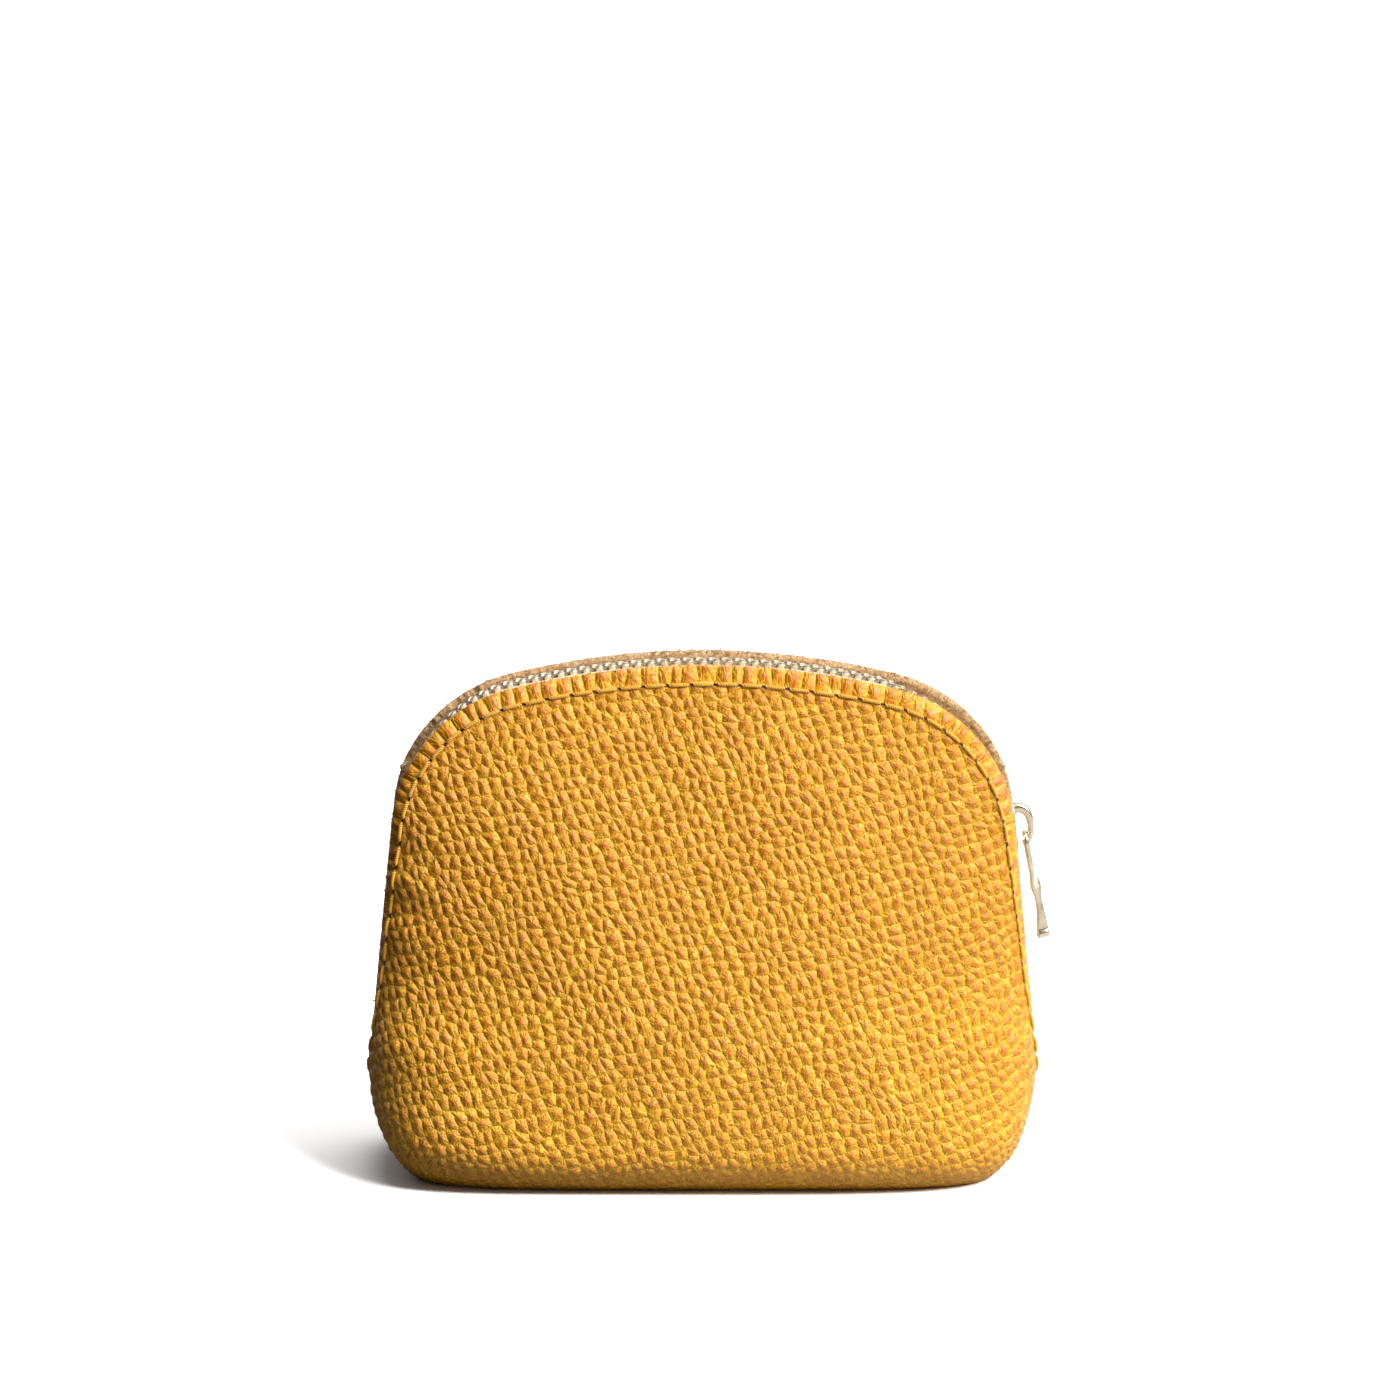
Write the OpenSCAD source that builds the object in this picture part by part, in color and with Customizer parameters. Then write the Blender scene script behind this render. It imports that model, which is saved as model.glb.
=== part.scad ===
// Small domed leather pouch with boxed corners, closed by a metal zipper that runs over the crown.
// X runs across the width, -Y is the front and +Z is up.
// The origin is the centre of the base, on the surface that the pouch stands on.

/* [Pouch] */
// Greatest width, from side to side
body_w = 140; // [130:1:150]
// Height of the leather edge at the crown
body_h = 108; // [105:1:112]
// Greatest depth, from front to back
body_d = 62; // [56:1:70]
// Leather thickness
leather_t = 1.6; // [1.2:0.1:1.8]
// Radius of the flat arc over the crown
crown_r = 168; // [160:1:185]
// Radius of the arcs at the two shoulders
shoulder_r = 33; // [31:1:34]
// Height of the fold line that the mouth opens about
fold_z = 82; // [81:1:83]

/* [Zipper] */
// Half of the gap between the two leather edges along the zipper
lip_gap = 6.4; // [6.2:0.1:7]
// Distance from one tooth to the next on the same tape
tooth_pitch = 2.7; // [2.4:0.1:3]
// Half of the width of the closed chain of teeth
chain_half = 2.3; // [2.1:0.1:2.6]
// Height of the middle of the slider
slider_z = 72.5; // [70:0.5:73]
// Length of the slider's body
slider_len = 11; // [9:0.5:12]
// Length of the puller below its crossbar
puller_len = 22.5; // [18:0.5:26]

/* [Stitching] */
// Distance from one stitch to the next
stitch_pitch = 5.1; // [4:0.1:6]
// Thread diameter
thread_d = 0.8; // [0.6:0.1:0.9]
// Distance from the leather edge to the topstitch
stitch_inset = 3.9; // [3.5:0.1:5]

/* [Hidden] */
$fn = 32;

half_w = body_w / 2;
half_d = body_d / 2;

// Outline of the closed pouch seen from the front: a crown arc, two shoulder arcs and two leaning sides
corner_top = 23;
corner_reach = 20;
base_under = 4.2;
shoulder_x = half_w - 38;
crown_cz = body_h - crown_r;
shoulder_z = crown_cz + sqrt((crown_r - shoulder_r)^2 - shoulder_x^2);
to_corner = [half_w - shoulder_x, shoulder_z - corner_top];
lean = acos(shoulder_r / norm(to_corner)) - atan2(to_corner[1], to_corner[0]);
crown_turn = asin(shoulder_x / (crown_r - shoulder_r));
crown_len = crown_r * crown_turn * PI / 180;
shoulder_len = shoulder_r * (90 - lean - crown_turn) * PI / 180;
tangent_x = shoulder_x + shoulder_r * cos(lean);
tangent_z = shoulder_z + shoulder_r * sin(lean);
join_z = crown_cz + crown_r * cos(crown_turn);

// Depth: a wedge that is widest at belly_z and curves in to the lips at the crown
belly_z = 10;
wedge_power = 1.6;
seam_gap = 0.15;
lip_start = 20;
lip_end = 31;
fold_gap = 0.3;
// How square the plan is: boxed at the base and round above
base_square = 4.5;
round_z = 45;

// Zipper, measured outward from the outline (positive) and inward (negative).
// The chain lies near the lips over the crown, and sinks to chain_n down the sides.
chain_crown_n = -0.8;
chain_n = -2.2;
tape_t = 0.5;
tape_edge = 1.3;
tape_flat = 4.7;
tape_wing = 10;
tape_clear = 0.2;
tooth_w = 1.1;
tooth_t = 1.8;
chain_end_z = 29;
tape_end_z = 21;
stop_z = 25.5;
stop_t = 1.2;
stop_w = 1.2;
side_rise = 3;

plate_t = 1.2;
plate_gap = 2.4;
slider_half = 4;
slider_narrow = 3.4;
flange_w = 0.5;
flange_t = 0.8;
post_l = 3;
post_w = 1.6;
bridge_w = 2.4;
bridge_t = 1.3;
bridge_r = 2.6;
bridge_out = 4.2;
bridge_low = -4.2;
bridge_high = 5;
crossbar_r = 0.7;
eye_half = 2.9;
eye_arm = 0.8;
puller_t = 1.3;
puller_tilt = 5;

function smooth(f) = f <= 0 ? 0 : f >= 1 ? 1 : f * f * (3 - 2 * f);
function mix(a, b, f) = a + (b - a) * f;

// Point [x, z, angle of the outward normal from vertical] at distance s along the outline from the crown
function outline_right(s) =
    s < crown_len
        ? let (a = s / crown_r * 180 / PI) [crown_r * sin(a), crown_cz + crown_r * cos(a), a]
        : s < crown_len + shoulder_len
            ? let (a = crown_turn + (s - crown_len) / shoulder_r * 180 / PI)
                [shoulder_x + shoulder_r * sin(a), shoulder_z + shoulder_r * cos(a), a]
            : let (d = s - crown_len - shoulder_len)
                [tangent_x + d * sin(lean), tangent_z - d * cos(lean), 90 - lean];
function outline(s) =
    let (p = outline_right(abs(s))) s < 0 ? [-p[0], p[1], -p[2]] : p;
// Distance along the outline at which one side is at height z
function side_s(z) = crown_len + shoulder_len + (tangent_z - z) / cos(lean);
function shoulder_s(z) = crown_len + (acos((z - shoulder_z) / shoulder_r) - crown_turn) * shoulder_r * PI / 180;

// Half width of the outline at height z, which runs a little below the floor so that the base comes out flat
function half_width(z) =
    z < corner_top
        ? half_w - corner_reach * (1 - sqrt(max(0, 1 - ((corner_top - z) / (corner_top + base_under))^2)))
        : z < tangent_z
            ? tangent_x + (tangent_z - z) * tan(lean)
            : z < join_z
                ? shoulder_x + sqrt(max(0, shoulder_r^2 - (z - shoulder_z)^2))
                : sqrt(max(0.0001, crown_r^2 - (z - crown_cz)^2));
function half_depth(z) =
    z < belly_z
        ? half_d * sqrt(max(0, 1 - ((belly_z - z) / (belly_z + base_under))^2))
        : lip_gap + (half_d - lip_gap) * (1 - (min(1, (z - belly_z) / (body_h - belly_z)))^wedge_power);
function lip(z) = mix(seam_gap, lip_gap, smooth((z - lip_start) / (lip_end - lip_start)));
function squareness(z) = mix(base_square, 2, smooth(z / round_z));
// Distance of the leather's face from the middle plane at (x, z)
function face_y(x, z) =
    let (k = squareness(z))
        lip(z) + max(0, half_depth(z) - lip(z)) * max(0, 1 - abs(x / half_width(z))^k)^(1 / k);

// Point of the back face at (x, z), moved inward by depth along the face's normal
function skin(x, z, depth) =
    let (
        step = 0.05,
        hx = x > 0 ? -step : step,
        hz = z > belly_z ? -step : step,
        y = face_y(x, z),
        slope_x = (face_y(x + hx, z) - y) / hx,
        slope_z = (face_y(x, z + hz) - y) / hz,
        n = [-slope_x, 1, -slope_z] / norm([slope_x, 1, slope_z])
    )
    [x - depth * n[0], max(seam_gap, y - depth * n[1]), max(z - depth * n[2], depth)];

// In-plane inset from the outline at s that lies reach millimetres away along the leather
function inset_for(s, reach, lo = 0, hi = 12, tries = 14) =
    let (
        mid = (lo + hi) / 2,
        p = outline(s),
        q = [p[0] - mid * sin(p[2]), p[1] - mid * cos(p[2])],
        far = norm([mid, face_y(q[0], q[1]) - lip(p[1])]) > reach
    )
    tries == 0 ? mid : inset_for(s, reach, far ? lo : mid, far ? mid : hi, tries - 1);
function near_edge(s, reach, depth) =
    let (p = outline(s), q = inset_for(s, reach)) skin(p[0] - q * sin(p[2]), p[1] - q * cos(p[2]), depth);
// Point at height n above the outline and y from the middle plane
function over_edge(s, y, n) = let (p = outline(s)) [p[0] + n * sin(p[2]), y, p[1] + n * cos(p[2])];

// Height of the middle of the chain, from the outline
function chain_at(s) = mix(chain_crown_n, chain_n, smooth((abs(s) - crown_len) / (0.85 * shoulder_len)));

// Two triangles of a grid cell, cut along the diagonal that leans to the middle column
function cell(a, cols, c) =
    c < (cols - 1) / 2
        ? [[a, a + cols + 1, a + cols], [a, a + 1, a + cols + 1]]
        : [[a, a + 1, a + cols], [a + 1, a + cols + 1, a + cols]];

// Closed shell between two grids of points, outer and inner, each listed row by row
module shell(outer, inner, cols, rows) {
    count = cols * rows;
    last = count - cols;
    rim = concat(
        [for (r = [0 : rows - 2]) r * cols],
        [for (c = [0 : cols - 2]) last + c],
        [for (r = [rows - 1 : -1 : 1]) r * cols + cols - 1],
        [for (c = [cols - 1 : -1 : 1]) c]
    );
    faces = concat(
        [for (r = [0 : rows - 2], c = [0 : cols - 2]) each cell(r * cols + c, cols, c)],
        [for (r = [0 : rows - 2], c = [0 : cols - 2], face = cell(count + r * cols + c, cols, c))
            [face[2], face[1], face[0]]],
        [for (i = [0 : len(rim) - 1])
            let (p = rim[i], q = rim[(i + 1) % len(rim)])
                each [[p, q, q + count], [p, q + count, p + count]]]
    );
    polyhedron(points = concat(outer, inner), faces = faces, convexity = 8);
}

// Closed band through cross-sections that each list one side's points and then the other's, coming back
module band(sections) {
    size = len(sections[0]);
    last = (len(sections) - 1) * size;
    faces = concat(
        [for (i = [0 : size / 2 - 2])
            let (a = i, b = i + 1, c = size - 2 - i, d = size - 1 - i)
                each [
                    [c, b, a], [d, c, a],
                    [last + a, last + b, last + c], [last + a, last + c, last + d]
                ]],
        [for (k = [0 : len(sections) - 2], i = [0 : size - 1])
            let (j = (i + 1) % size, a = k * size)
                each [[a + i, a + j, a + size + j], [a + i, a + size + j, a + size + i]]]
    );
    polyhedron(points = [for (section = sections) each section], faces = faces, convexity = 8);
}

// Round bar from p to q
module bar(p, q, r) {
    d = q - p;
    translate(p)
        rotate([0, acos(d[2] / norm(d)), atan2(d[1], d[0])])
            cylinder(h = norm(d), r = r);
}

module to_front() {
    mirror([0, 1, 0])
        children();
}

// Lower leather of the back: half of the base and the wall up to the fold line
module lower_leather() {
    cols = 37;
    base_rows = 6;
    wall_rows = 12;
    top = fold_z - fold_gap / 2;
    heights = concat(
        [for (i = [0 : base_rows - 1]) mix(-base_under, corner_top / 2, (i / base_rows)^1.5)],
        [for (i = [0 : wall_rows - 1]) mix(corner_top / 2, top, i / (wall_rows - 1))]
    );
    function grid(depth) = [
        for (z = heights, c = [0 : cols - 1])
            skin(half_width(z) * sin(mix(-90, 90, c / (cols - 1))), z, depth)
    ];
    shell(grid(0), grid(leather_t), cols, len(heights));
}

// Upper leather of the back, from the fold line to the lip along the zipper
module mouth_leather() {
    cols = 41;
    rows = 8;
    bottom = fold_z + fold_gap / 2;
    end_s = shoulder_s(bottom + side_rise);
    function at(c, r, depth) =
        let (
            f = mix(-1, 1, c / (cols - 1)),
            low = [half_width(bottom) * sin(90 * f), bottom],
            high = outline(end_s * f),
            p = mix(low, [high[0], high[1]], r / (rows - 1))
        )
        skin(p[0], p[1], depth);
    function grid(depth) = [
        for (r = [0 : rows - 1], c = [0 : cols - 1])
            let (p = at(c, r, depth)) r == 0 ? [p[0], p[1], bottom] : p
    ];
    shell(grid(0), grid(leather_t), cols, rows);
}

// Cross-section of one zipper tape at s: a flat strip beside the teeth and a wing under the leather
function tape_section(s) =
    let (
        out_n = chain_at(s) + tape_t / 2,
        in_n = chain_at(s) - tape_t / 2,
        under = leather_t + tape_clear,
        y_drop = tape_flat + 0.5,
        drop_n = min(out_n, -under - 0.2)
    )
    [
        over_edge(s, tape_edge, out_n),
        over_edge(s, tape_flat, out_n),
        over_edge(s, y_drop, drop_n),
        near_edge(s, 2.5, under),
        near_edge(s, tape_wing, under),
        near_edge(s, tape_wing, under + tape_t),
        near_edge(s, 2.5, under + tape_t),
        over_edge(s, y_drop - 0.35, drop_n - tape_t),
        over_edge(s, tape_flat - 0.2, in_n),
        over_edge(s, tape_edge, in_n)
    ];

module tape(from_s, to_s, steps) {
    band([for (i = [0 : steps]) tape_section(mix(from_s, to_s, i / steps))]);
}

module side_tape() {
    steps = 16;
    for (way = [-1, 1])
        let (low = way * side_s(tape_end_z), high = way * shoulder_s(fold_z - fold_gap))
            tape(min(low, high), max(low, high), steps);
}

module mouth_tape() {
    steps = 44;
    end_s = shoulder_s(fold_z + fold_gap);
    tape(-end_s, end_s, steps);
}

// One tooth: the leg clamped to the tape and the head that reaches past the middle
module tooth(s) {
    p = outline(s);
    head_y = -0.55;
    translate([p[0], 0, p[1]])
        rotate([0, p[2], 0])
            translate([0, 0, chain_at(s)]) {
                translate([-tooth_w / 2, head_y, -tooth_t / 2])
                    cube([tooth_w, tape_edge - head_y, tooth_t]);
                for (up = [-1, 1])
                    translate([-tooth_w / 2, tape_edge, up > 0 ? tape_t / 2 + 0.05 : -tooth_t / 2])
                        cube([tooth_w, chain_half - tape_edge, tooth_t / 2 - tape_t / 2 - 0.05]);
            }
}

// True where the slider's post stands between the teeth
function at_post(s) = s > 0 && abs(s - side_s(slider_z - slider_len / 2 + 3)) < post_l / 2 + tooth_w;

// Teeth of one tape at every pitch, with the other tape's half a pitch further on
module teeth(shift, low_z, high_z) {
    reach = ceil(side_s(chain_end_z) / tooth_pitch);
    for (k = [-reach : reach]) {
        s = (k + shift) * tooth_pitch;
        z = outline(s)[1];
        if (z > low_z && z < high_z && !at_post(s))
            tooth(s);
    }
}

// Topstitch along the lip, between two heights
module topstitch(low_z, high_z) {
    reach = floor(side_s(lip_start) / stitch_pitch);
    fill = 0.38;
    lift = -thread_d / 2 - 0.05;
    for (k = [-reach : reach]) {
        s = k * stitch_pitch;
        z = outline(s)[1];
        if (z > low_z && z < high_z)
            bar(
                near_edge(s - fill * stitch_pitch, stitch_inset, lift),
                near_edge(s + fill * stitch_pitch, stitch_inset, lift),
                thread_d / 2
            );
    }
}

module front_panel() {
    color("goldenrod")
        to_front()
            lower_leather();
}

module back_panel() {
    color("goldenrod")
        lower_leather();
}

module front_mouth_panel() {
    color("goldenrod")
        to_front()
            mouth_leather();
}

module back_mouth_panel() {
    color("goldenrod")
        mouth_leather();
}

module front_side_tape() {
    color("wheat")
        to_front()
            side_tape();
}

module back_side_tape() {
    color("wheat")
        side_tape();
}

module front_mouth_tape() {
    color("wheat")
        to_front()
            mouth_tape();
}

module back_mouth_tape() {
    color("wheat")
        mouth_tape();
}

module front_side_teeth() {
    color("moccasin")
        to_front()
            teeth(0, chain_end_z, fold_z - tooth_w);
}

module back_side_teeth() {
    color("moccasin")
        teeth(0.5, chain_end_z, fold_z - tooth_w);
}

module front_mouth_teeth() {
    color("moccasin")
        to_front()
            teeth(0, fold_z + tooth_w, body_h + 1);
}

module back_mouth_teeth() {
    color("moccasin")
        teeth(0.5, fold_z + tooth_w, body_h + 1);
}

module front_side_topstitch() {
    color("darkgoldenrod")
        to_front()
            topstitch(lip_start, fold_z - stitch_pitch / 2);
}

module back_side_topstitch() {
    color("darkgoldenrod")
        topstitch(lip_start, fold_z - stitch_pitch / 2);
}

module front_mouth_topstitch() {
    color("darkgoldenrod")
        to_front()
            topstitch(fold_z + stitch_pitch / 2, body_h + 1);
}

module back_mouth_topstitch() {
    color("darkgoldenrod")
        topstitch(fold_z + stitch_pitch / 2, body_h + 1);
}

// Short side seams that join the two panels below the zipper, with the thread on the inside
module side_seam_stitches() {
    first_z = 6;
    count = 3;
    inside = leather_t + thread_d / 2 + 0.3;
    color("darkgoldenrod")
        for (side = [-1, 1], i = [0 : count - 1]) {
            low = first_z + i * stitch_pitch;
            high = low + 0.76 * stitch_pitch;
            bar(
                [side * (half_width(low) - inside), 0, low],
                [side * (half_width(high) - inside), 0, high],
                thread_d / 2
            );
        }
}

// Cross seams that box the two bottom corners, with the thread lying on the leather
module corner_seam_stitches() {
    seam_z = 4;
    per_side = 2;
    fill = 0.38;
    lift = -thread_d / 2 - 0.05;
    function on_ring(t) =
        let (k = squareness(seam_z), x = half_width(seam_z) * (1 - (t / half_depth(seam_z))^k)^(1 / k))
            skin(x, seam_z, lift);
    color("darkgoldenrod")
        for (side = [0, 1], face = [0, 1], i = [0 : per_side - 1])
            mirror([side, 0, 0])
                mirror([0, face, 0])
                    bar(
                        on_ring((i + 1 - fill) * stitch_pitch),
                        on_ring((i + 1 + fill) * stitch_pitch),
                        thread_d / 2
                    );
}

// Seam along the middle of the base, with the thread on the inside
module bottom_seam_stitches() {
    reach = floor((half_width(0) - 12) / stitch_pitch);
    color("darkgoldenrod")
        for (k = [-reach : reach])
            translate([(k - 0.38) * stitch_pitch, 0, leather_t + thread_d / 2 + 0.1])
                rotate([0, 90, 0])
                    cylinder(h = 0.76 * stitch_pitch, d = thread_d);
}

// Moves a shape that is drawn flat on the outline to the right side at height z, with +Z up the side
module on_side(z) {
    p = outline(side_s(z));
    translate([p[0], 0, p[1]])
        rotate([0, p[2] - 90, 0])
            children();
}

// Two blocks clamped to the ends of the tapes, which stop the slider where the zipper is fully closed
module top_stops() {
    color("moccasin")
        on_side(stop_z)
            for (face = [0, 1])
                mirror([0, face, 0])
                    translate([chain_n + tape_t / 2 + 0.05, tape_edge, 0])
                        cube([stop_t, stop_w, 2.6]);
}

// Block across both tapes at the other end of the chain
module bottom_stop() {
    color("moccasin")
        mirror([1, 0, 0])
            on_side(stop_z)
                translate([chain_n + tape_t / 2 + 0.05, -chain_half, 0])
                    cube([stop_t, 2 * chain_half, 2.2]);
}

// Outline of a slider plate: wide at the mouth below, where the teeth part, and narrow above
module plate() {
    chamfer = 1.2;
    low = -slider_len / 2;
    high = slider_len / 2;
    half = [for (p = [
        [low, slider_half - chamfer], [low + chamfer, slider_half], [0, slider_half],
        [high - chamfer, slider_narrow], [high, slider_narrow - chamfer]
    ]) [p[1], p[0]]];
    polygon(concat(half, [for (i = [len(half) - 1 : -1 : 0]) [-half[i][0], half[i][1]]]));
}

// Slider body: two plates joined by the post, with flanges that hold the tapes in the slot
module slider_body() {
    in_x = chain_n - plate_gap / 2;
    low_z = -slider_len / 2;
    flange_len = slider_len - 4;
    color("moccasin")
        on_side(slider_z) {
            for (x = [in_x - plate_t, in_x + plate_gap])
                translate([x, 0, 0])
                    rotate([90, 0, 90])
                        linear_extrude(plate_t)
                            plate();
            translate([in_x, -post_w / 2, low_z + 1.5])
                cube([plate_gap, post_w, post_l]);
            for (x = [in_x, in_x + plate_gap - flange_t], face = [0, 1])
                mirror([0, face, 0])
                    translate([x, slider_narrow - flange_w, low_z + 2])
                        cube([flange_t, flange_w, flange_len]);
        }
}

// Block that stands on the plane x = foot, with its two outer corners rounded
module bridge_block(foot, inset) {
    r = bridge_r - inset;
    low = bridge_low + inset;
    high = bridge_high - inset;
    centre_x = bridge_out - bridge_r;
    translate([foot, low])
        square([centre_x - foot, high - low]);
    translate([foot, low + r])
        square([bridge_out - inset - foot, high - low - 2 * r]);
    for (z = [low + r, high - r])
        translate([centre_x, z])
            circle(r = r);
}

// Profile of the bridge: a hook that stands on the outer plate and closes over the crossbar
module bridge_profile() {
    foot = chain_n + plate_gap / 2 + plate_t;
    intersection() {
        difference() {
            bridge_block(foot, 0);
            bridge_block(foot - 1, bridge_t);
        }
        translate([foot, bridge_low])
            square([bridge_out - foot, bridge_high - bridge_low]);
    }
}

module slider_bridge() {
    color("moccasin")
        on_side(slider_z)
            translate([0, bridge_w / 2, 0])
                rotate([90, 0, 0])
                    linear_extrude(bridge_w)
                        bridge_profile();
}

// Puller: an eye whose crossbar hangs in the bridge, and a flat bar that flares to its free end
module puller() {
    pivot_x = 1.9;
    pivot_z = -1.6;
    eye_len = 7.5;
    neck = 2.2;
    flare = 3.6;
    color("moccasin")
        on_side(slider_z)
            translate([pivot_x, 0, pivot_z])
                rotate([0, -puller_tilt, 0]) {
                    rotate([90, 0, 0])
                        cylinder(h = 2 * eye_half, r = crossbar_r, center = true);
                    for (face = [0, 1])
                        mirror([0, face, 0])
                            translate([-puller_t / 2, eye_half - eye_arm, -eye_len])
                                cube([puller_t, eye_arm, eye_len]);
                    translate([0, 0, -eye_len])
                        rotate([90, 0, 90])
                            linear_extrude(puller_t, center = true)
                                polygon([
                                    [-eye_half, 0], [eye_half, 0], [neck / 2, -puller_len / 3],
                                    [flare / 2, eye_len - puller_len], [-flare / 2, eye_len - puller_len],
                                    [-neck / 2, -puller_len / 3]
                                ]);
                }
}

front_panel();
back_panel();
front_mouth_panel();
back_mouth_panel();
front_side_tape();
back_side_tape();
front_mouth_tape();
back_mouth_tape();
front_side_teeth();
back_side_teeth();
front_mouth_teeth();
back_mouth_teeth();
front_side_topstitch();
back_side_topstitch();
front_mouth_topstitch();
back_mouth_topstitch();
side_seam_stitches();
corner_seam_stitches();
bottom_seam_stitches();
top_stops();
bottom_stop();
slider_body();
slider_bridge();
puller();
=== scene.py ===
"""Looks of the zippered pouch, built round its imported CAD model.

Lengths are in millimetres in the frame of the CAD model, and Mesh.piece() turns them into metres.
X runs across the width, -Y is the front, +Z is up, and the pouch stands on z = 0.
"""

import math

import bpy
import numpy as np
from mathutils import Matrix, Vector

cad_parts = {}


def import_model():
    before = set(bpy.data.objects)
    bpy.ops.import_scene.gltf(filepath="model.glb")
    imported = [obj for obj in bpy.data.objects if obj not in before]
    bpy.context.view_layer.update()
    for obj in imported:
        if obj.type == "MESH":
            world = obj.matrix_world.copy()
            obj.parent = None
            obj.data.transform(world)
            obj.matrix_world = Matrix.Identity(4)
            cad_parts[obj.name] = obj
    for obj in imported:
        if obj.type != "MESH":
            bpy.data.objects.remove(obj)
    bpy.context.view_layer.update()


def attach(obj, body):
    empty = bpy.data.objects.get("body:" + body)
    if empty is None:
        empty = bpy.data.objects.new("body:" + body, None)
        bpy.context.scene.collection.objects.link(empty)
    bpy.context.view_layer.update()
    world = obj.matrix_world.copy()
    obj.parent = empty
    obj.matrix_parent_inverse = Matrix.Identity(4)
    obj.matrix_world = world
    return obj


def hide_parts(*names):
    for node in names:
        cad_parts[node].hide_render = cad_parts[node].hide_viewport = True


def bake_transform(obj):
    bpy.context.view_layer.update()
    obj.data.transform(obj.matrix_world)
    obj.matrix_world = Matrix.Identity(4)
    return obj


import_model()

MM = 0.001
FRONT, BACK = -1, 1

# ---------------- driving dimensions, as in the design
BODY_W, BODY_H, BODY_D = 140, 108, 62
LEATHER_T = 1.6
CROWN_R, SHOULDER_R = 168, 33
LIP_GAP = 6.4
TOOTH_PITCH = 2.7
SLIDER_Z = 72.5
SLIDER_LEN = 11
STITCH_PITCH = 5.1
STITCH_INSET = 3.9

HALF_W, HALF_D = BODY_W / 2, BODY_D / 2
CORNER_TOP, CORNER_REACH, BASE_UNDER = 23, 20, 4.2
SHOULDER_X = HALF_W - 38
CROWN_CZ = BODY_H - CROWN_R
SHOULDER_Z = CROWN_CZ + math.sqrt((CROWN_R - SHOULDER_R) ** 2 - SHOULDER_X**2)
TO_CORNER = (HALF_W - SHOULDER_X, SHOULDER_Z - CORNER_TOP)
LEAN = math.acos(SHOULDER_R / math.hypot(*TO_CORNER)) - math.atan2(TO_CORNER[1], TO_CORNER[0])
CROWN_TURN = math.asin(SHOULDER_X / (CROWN_R - SHOULDER_R))
CROWN_LEN = CROWN_R * CROWN_TURN
SHOULDER_LEN = SHOULDER_R * (math.pi / 2 - LEAN - CROWN_TURN)
TANGENT_X = SHOULDER_X + SHOULDER_R * math.cos(LEAN)
TANGENT_Z = SHOULDER_Z + SHOULDER_R * math.sin(LEAN)
JOIN_Z = CROWN_CZ + CROWN_R * math.cos(CROWN_TURN)

BELLY_Z, WEDGE_POWER = 10, 1.6
SEAM_GAP = 0.15
LIP_START, LIP_END = 20, 31
BASE_SQUARE, ROUND_Z = 4.5, 45

CHAIN_CROWN_N, CHAIN_N = -0.8, -2.2
# How far the chain sags on the right shoulder, where that starts, and over what length it comes and goes
SAG, SAG_START, SAG_EASE = 1.1, 36, 9
CHAIN_HALF = 2.3
CHAIN_END_Z, TAPE_END_Z, STOP_Z = 29, 21, 25.5
PLATE_T, PLATE_GAP = 1.2, 2.4
SLIDER_HALF, SLIDER_NARROW = 4, 3.4
POST_L = 3
PULLER_TILT = math.radians(5)
PIVOT = (1.9, -1.6)


# ---------------- shape of the pouch
def smooth(f):
    f = np.clip(f, 0, 1)
    return f * f * (3 - 2 * f)


def mix(a, b, f):
    return a + (b - a) * f


def unit(vectors):
    """The vectors at length 1, along the last axis."""
    return vectors / np.maximum(np.linalg.norm(vectors, axis=-1, keepdims=True), 1e-9)


def outline(s):
    """x, z and the outward normal's angle from vertical, at distance s along the outline from the crown."""
    s = np.asarray(s, float)
    side = np.where(s < 0, -1.0, 1.0)
    s = np.abs(s)
    crown = s / CROWN_R
    shoulder = CROWN_TURN + (s - CROWN_LEN) / SHOULDER_R
    down = s - CROWN_LEN - SHOULDER_LEN
    where = [s < CROWN_LEN, s < CROWN_LEN + SHOULDER_LEN]
    x = np.select(
        where,
        [CROWN_R * np.sin(crown), SHOULDER_X + SHOULDER_R * np.sin(shoulder)],
        TANGENT_X + down * math.sin(LEAN),
    )
    z = np.select(
        where,
        [CROWN_CZ + CROWN_R * np.cos(crown), SHOULDER_Z + SHOULDER_R * np.cos(shoulder)],
        TANGENT_Z - down * math.cos(LEAN),
    )
    angle = np.select(where, [crown, shoulder], math.pi / 2 - LEAN)
    return side * x, z, side * angle


def side_s(z):
    return CROWN_LEN + SHOULDER_LEN + (TANGENT_Z - z) / math.cos(LEAN)


def shoulder_s(z):
    return CROWN_LEN + (math.acos((z - SHOULDER_Z) / SHOULDER_R) - CROWN_TURN) * SHOULDER_R


def half_width(z):
    z = np.asarray(z, float)
    low = np.clip((CORNER_TOP - z) / (CORNER_TOP + BASE_UNDER), 0, 1)
    return np.select(
        [z < CORNER_TOP, z < TANGENT_Z, z < JOIN_Z],
        [
            HALF_W - CORNER_REACH * (1 - np.sqrt(1 - low**2)),
            TANGENT_X + (TANGENT_Z - z) * math.tan(LEAN),
            SHOULDER_X + np.sqrt(np.maximum(0, SHOULDER_R**2 - (z - SHOULDER_Z) ** 2)),
        ],
        np.sqrt(np.maximum(1e-4, CROWN_R**2 - (z - CROWN_CZ) ** 2)),
    )


def half_depth(z):
    z = np.asarray(z, float)
    low = np.clip((BELLY_Z - z) / (BELLY_Z + BASE_UNDER), 0, 1)
    high = np.clip((z - BELLY_Z) / (BODY_H - BELLY_Z), 0, 1)
    return np.where(
        z < BELLY_Z,
        HALF_D * np.sqrt(1 - low**2),
        LIP_GAP + (HALF_D - LIP_GAP) * (1 - high**WEDGE_POWER),
    )


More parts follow.
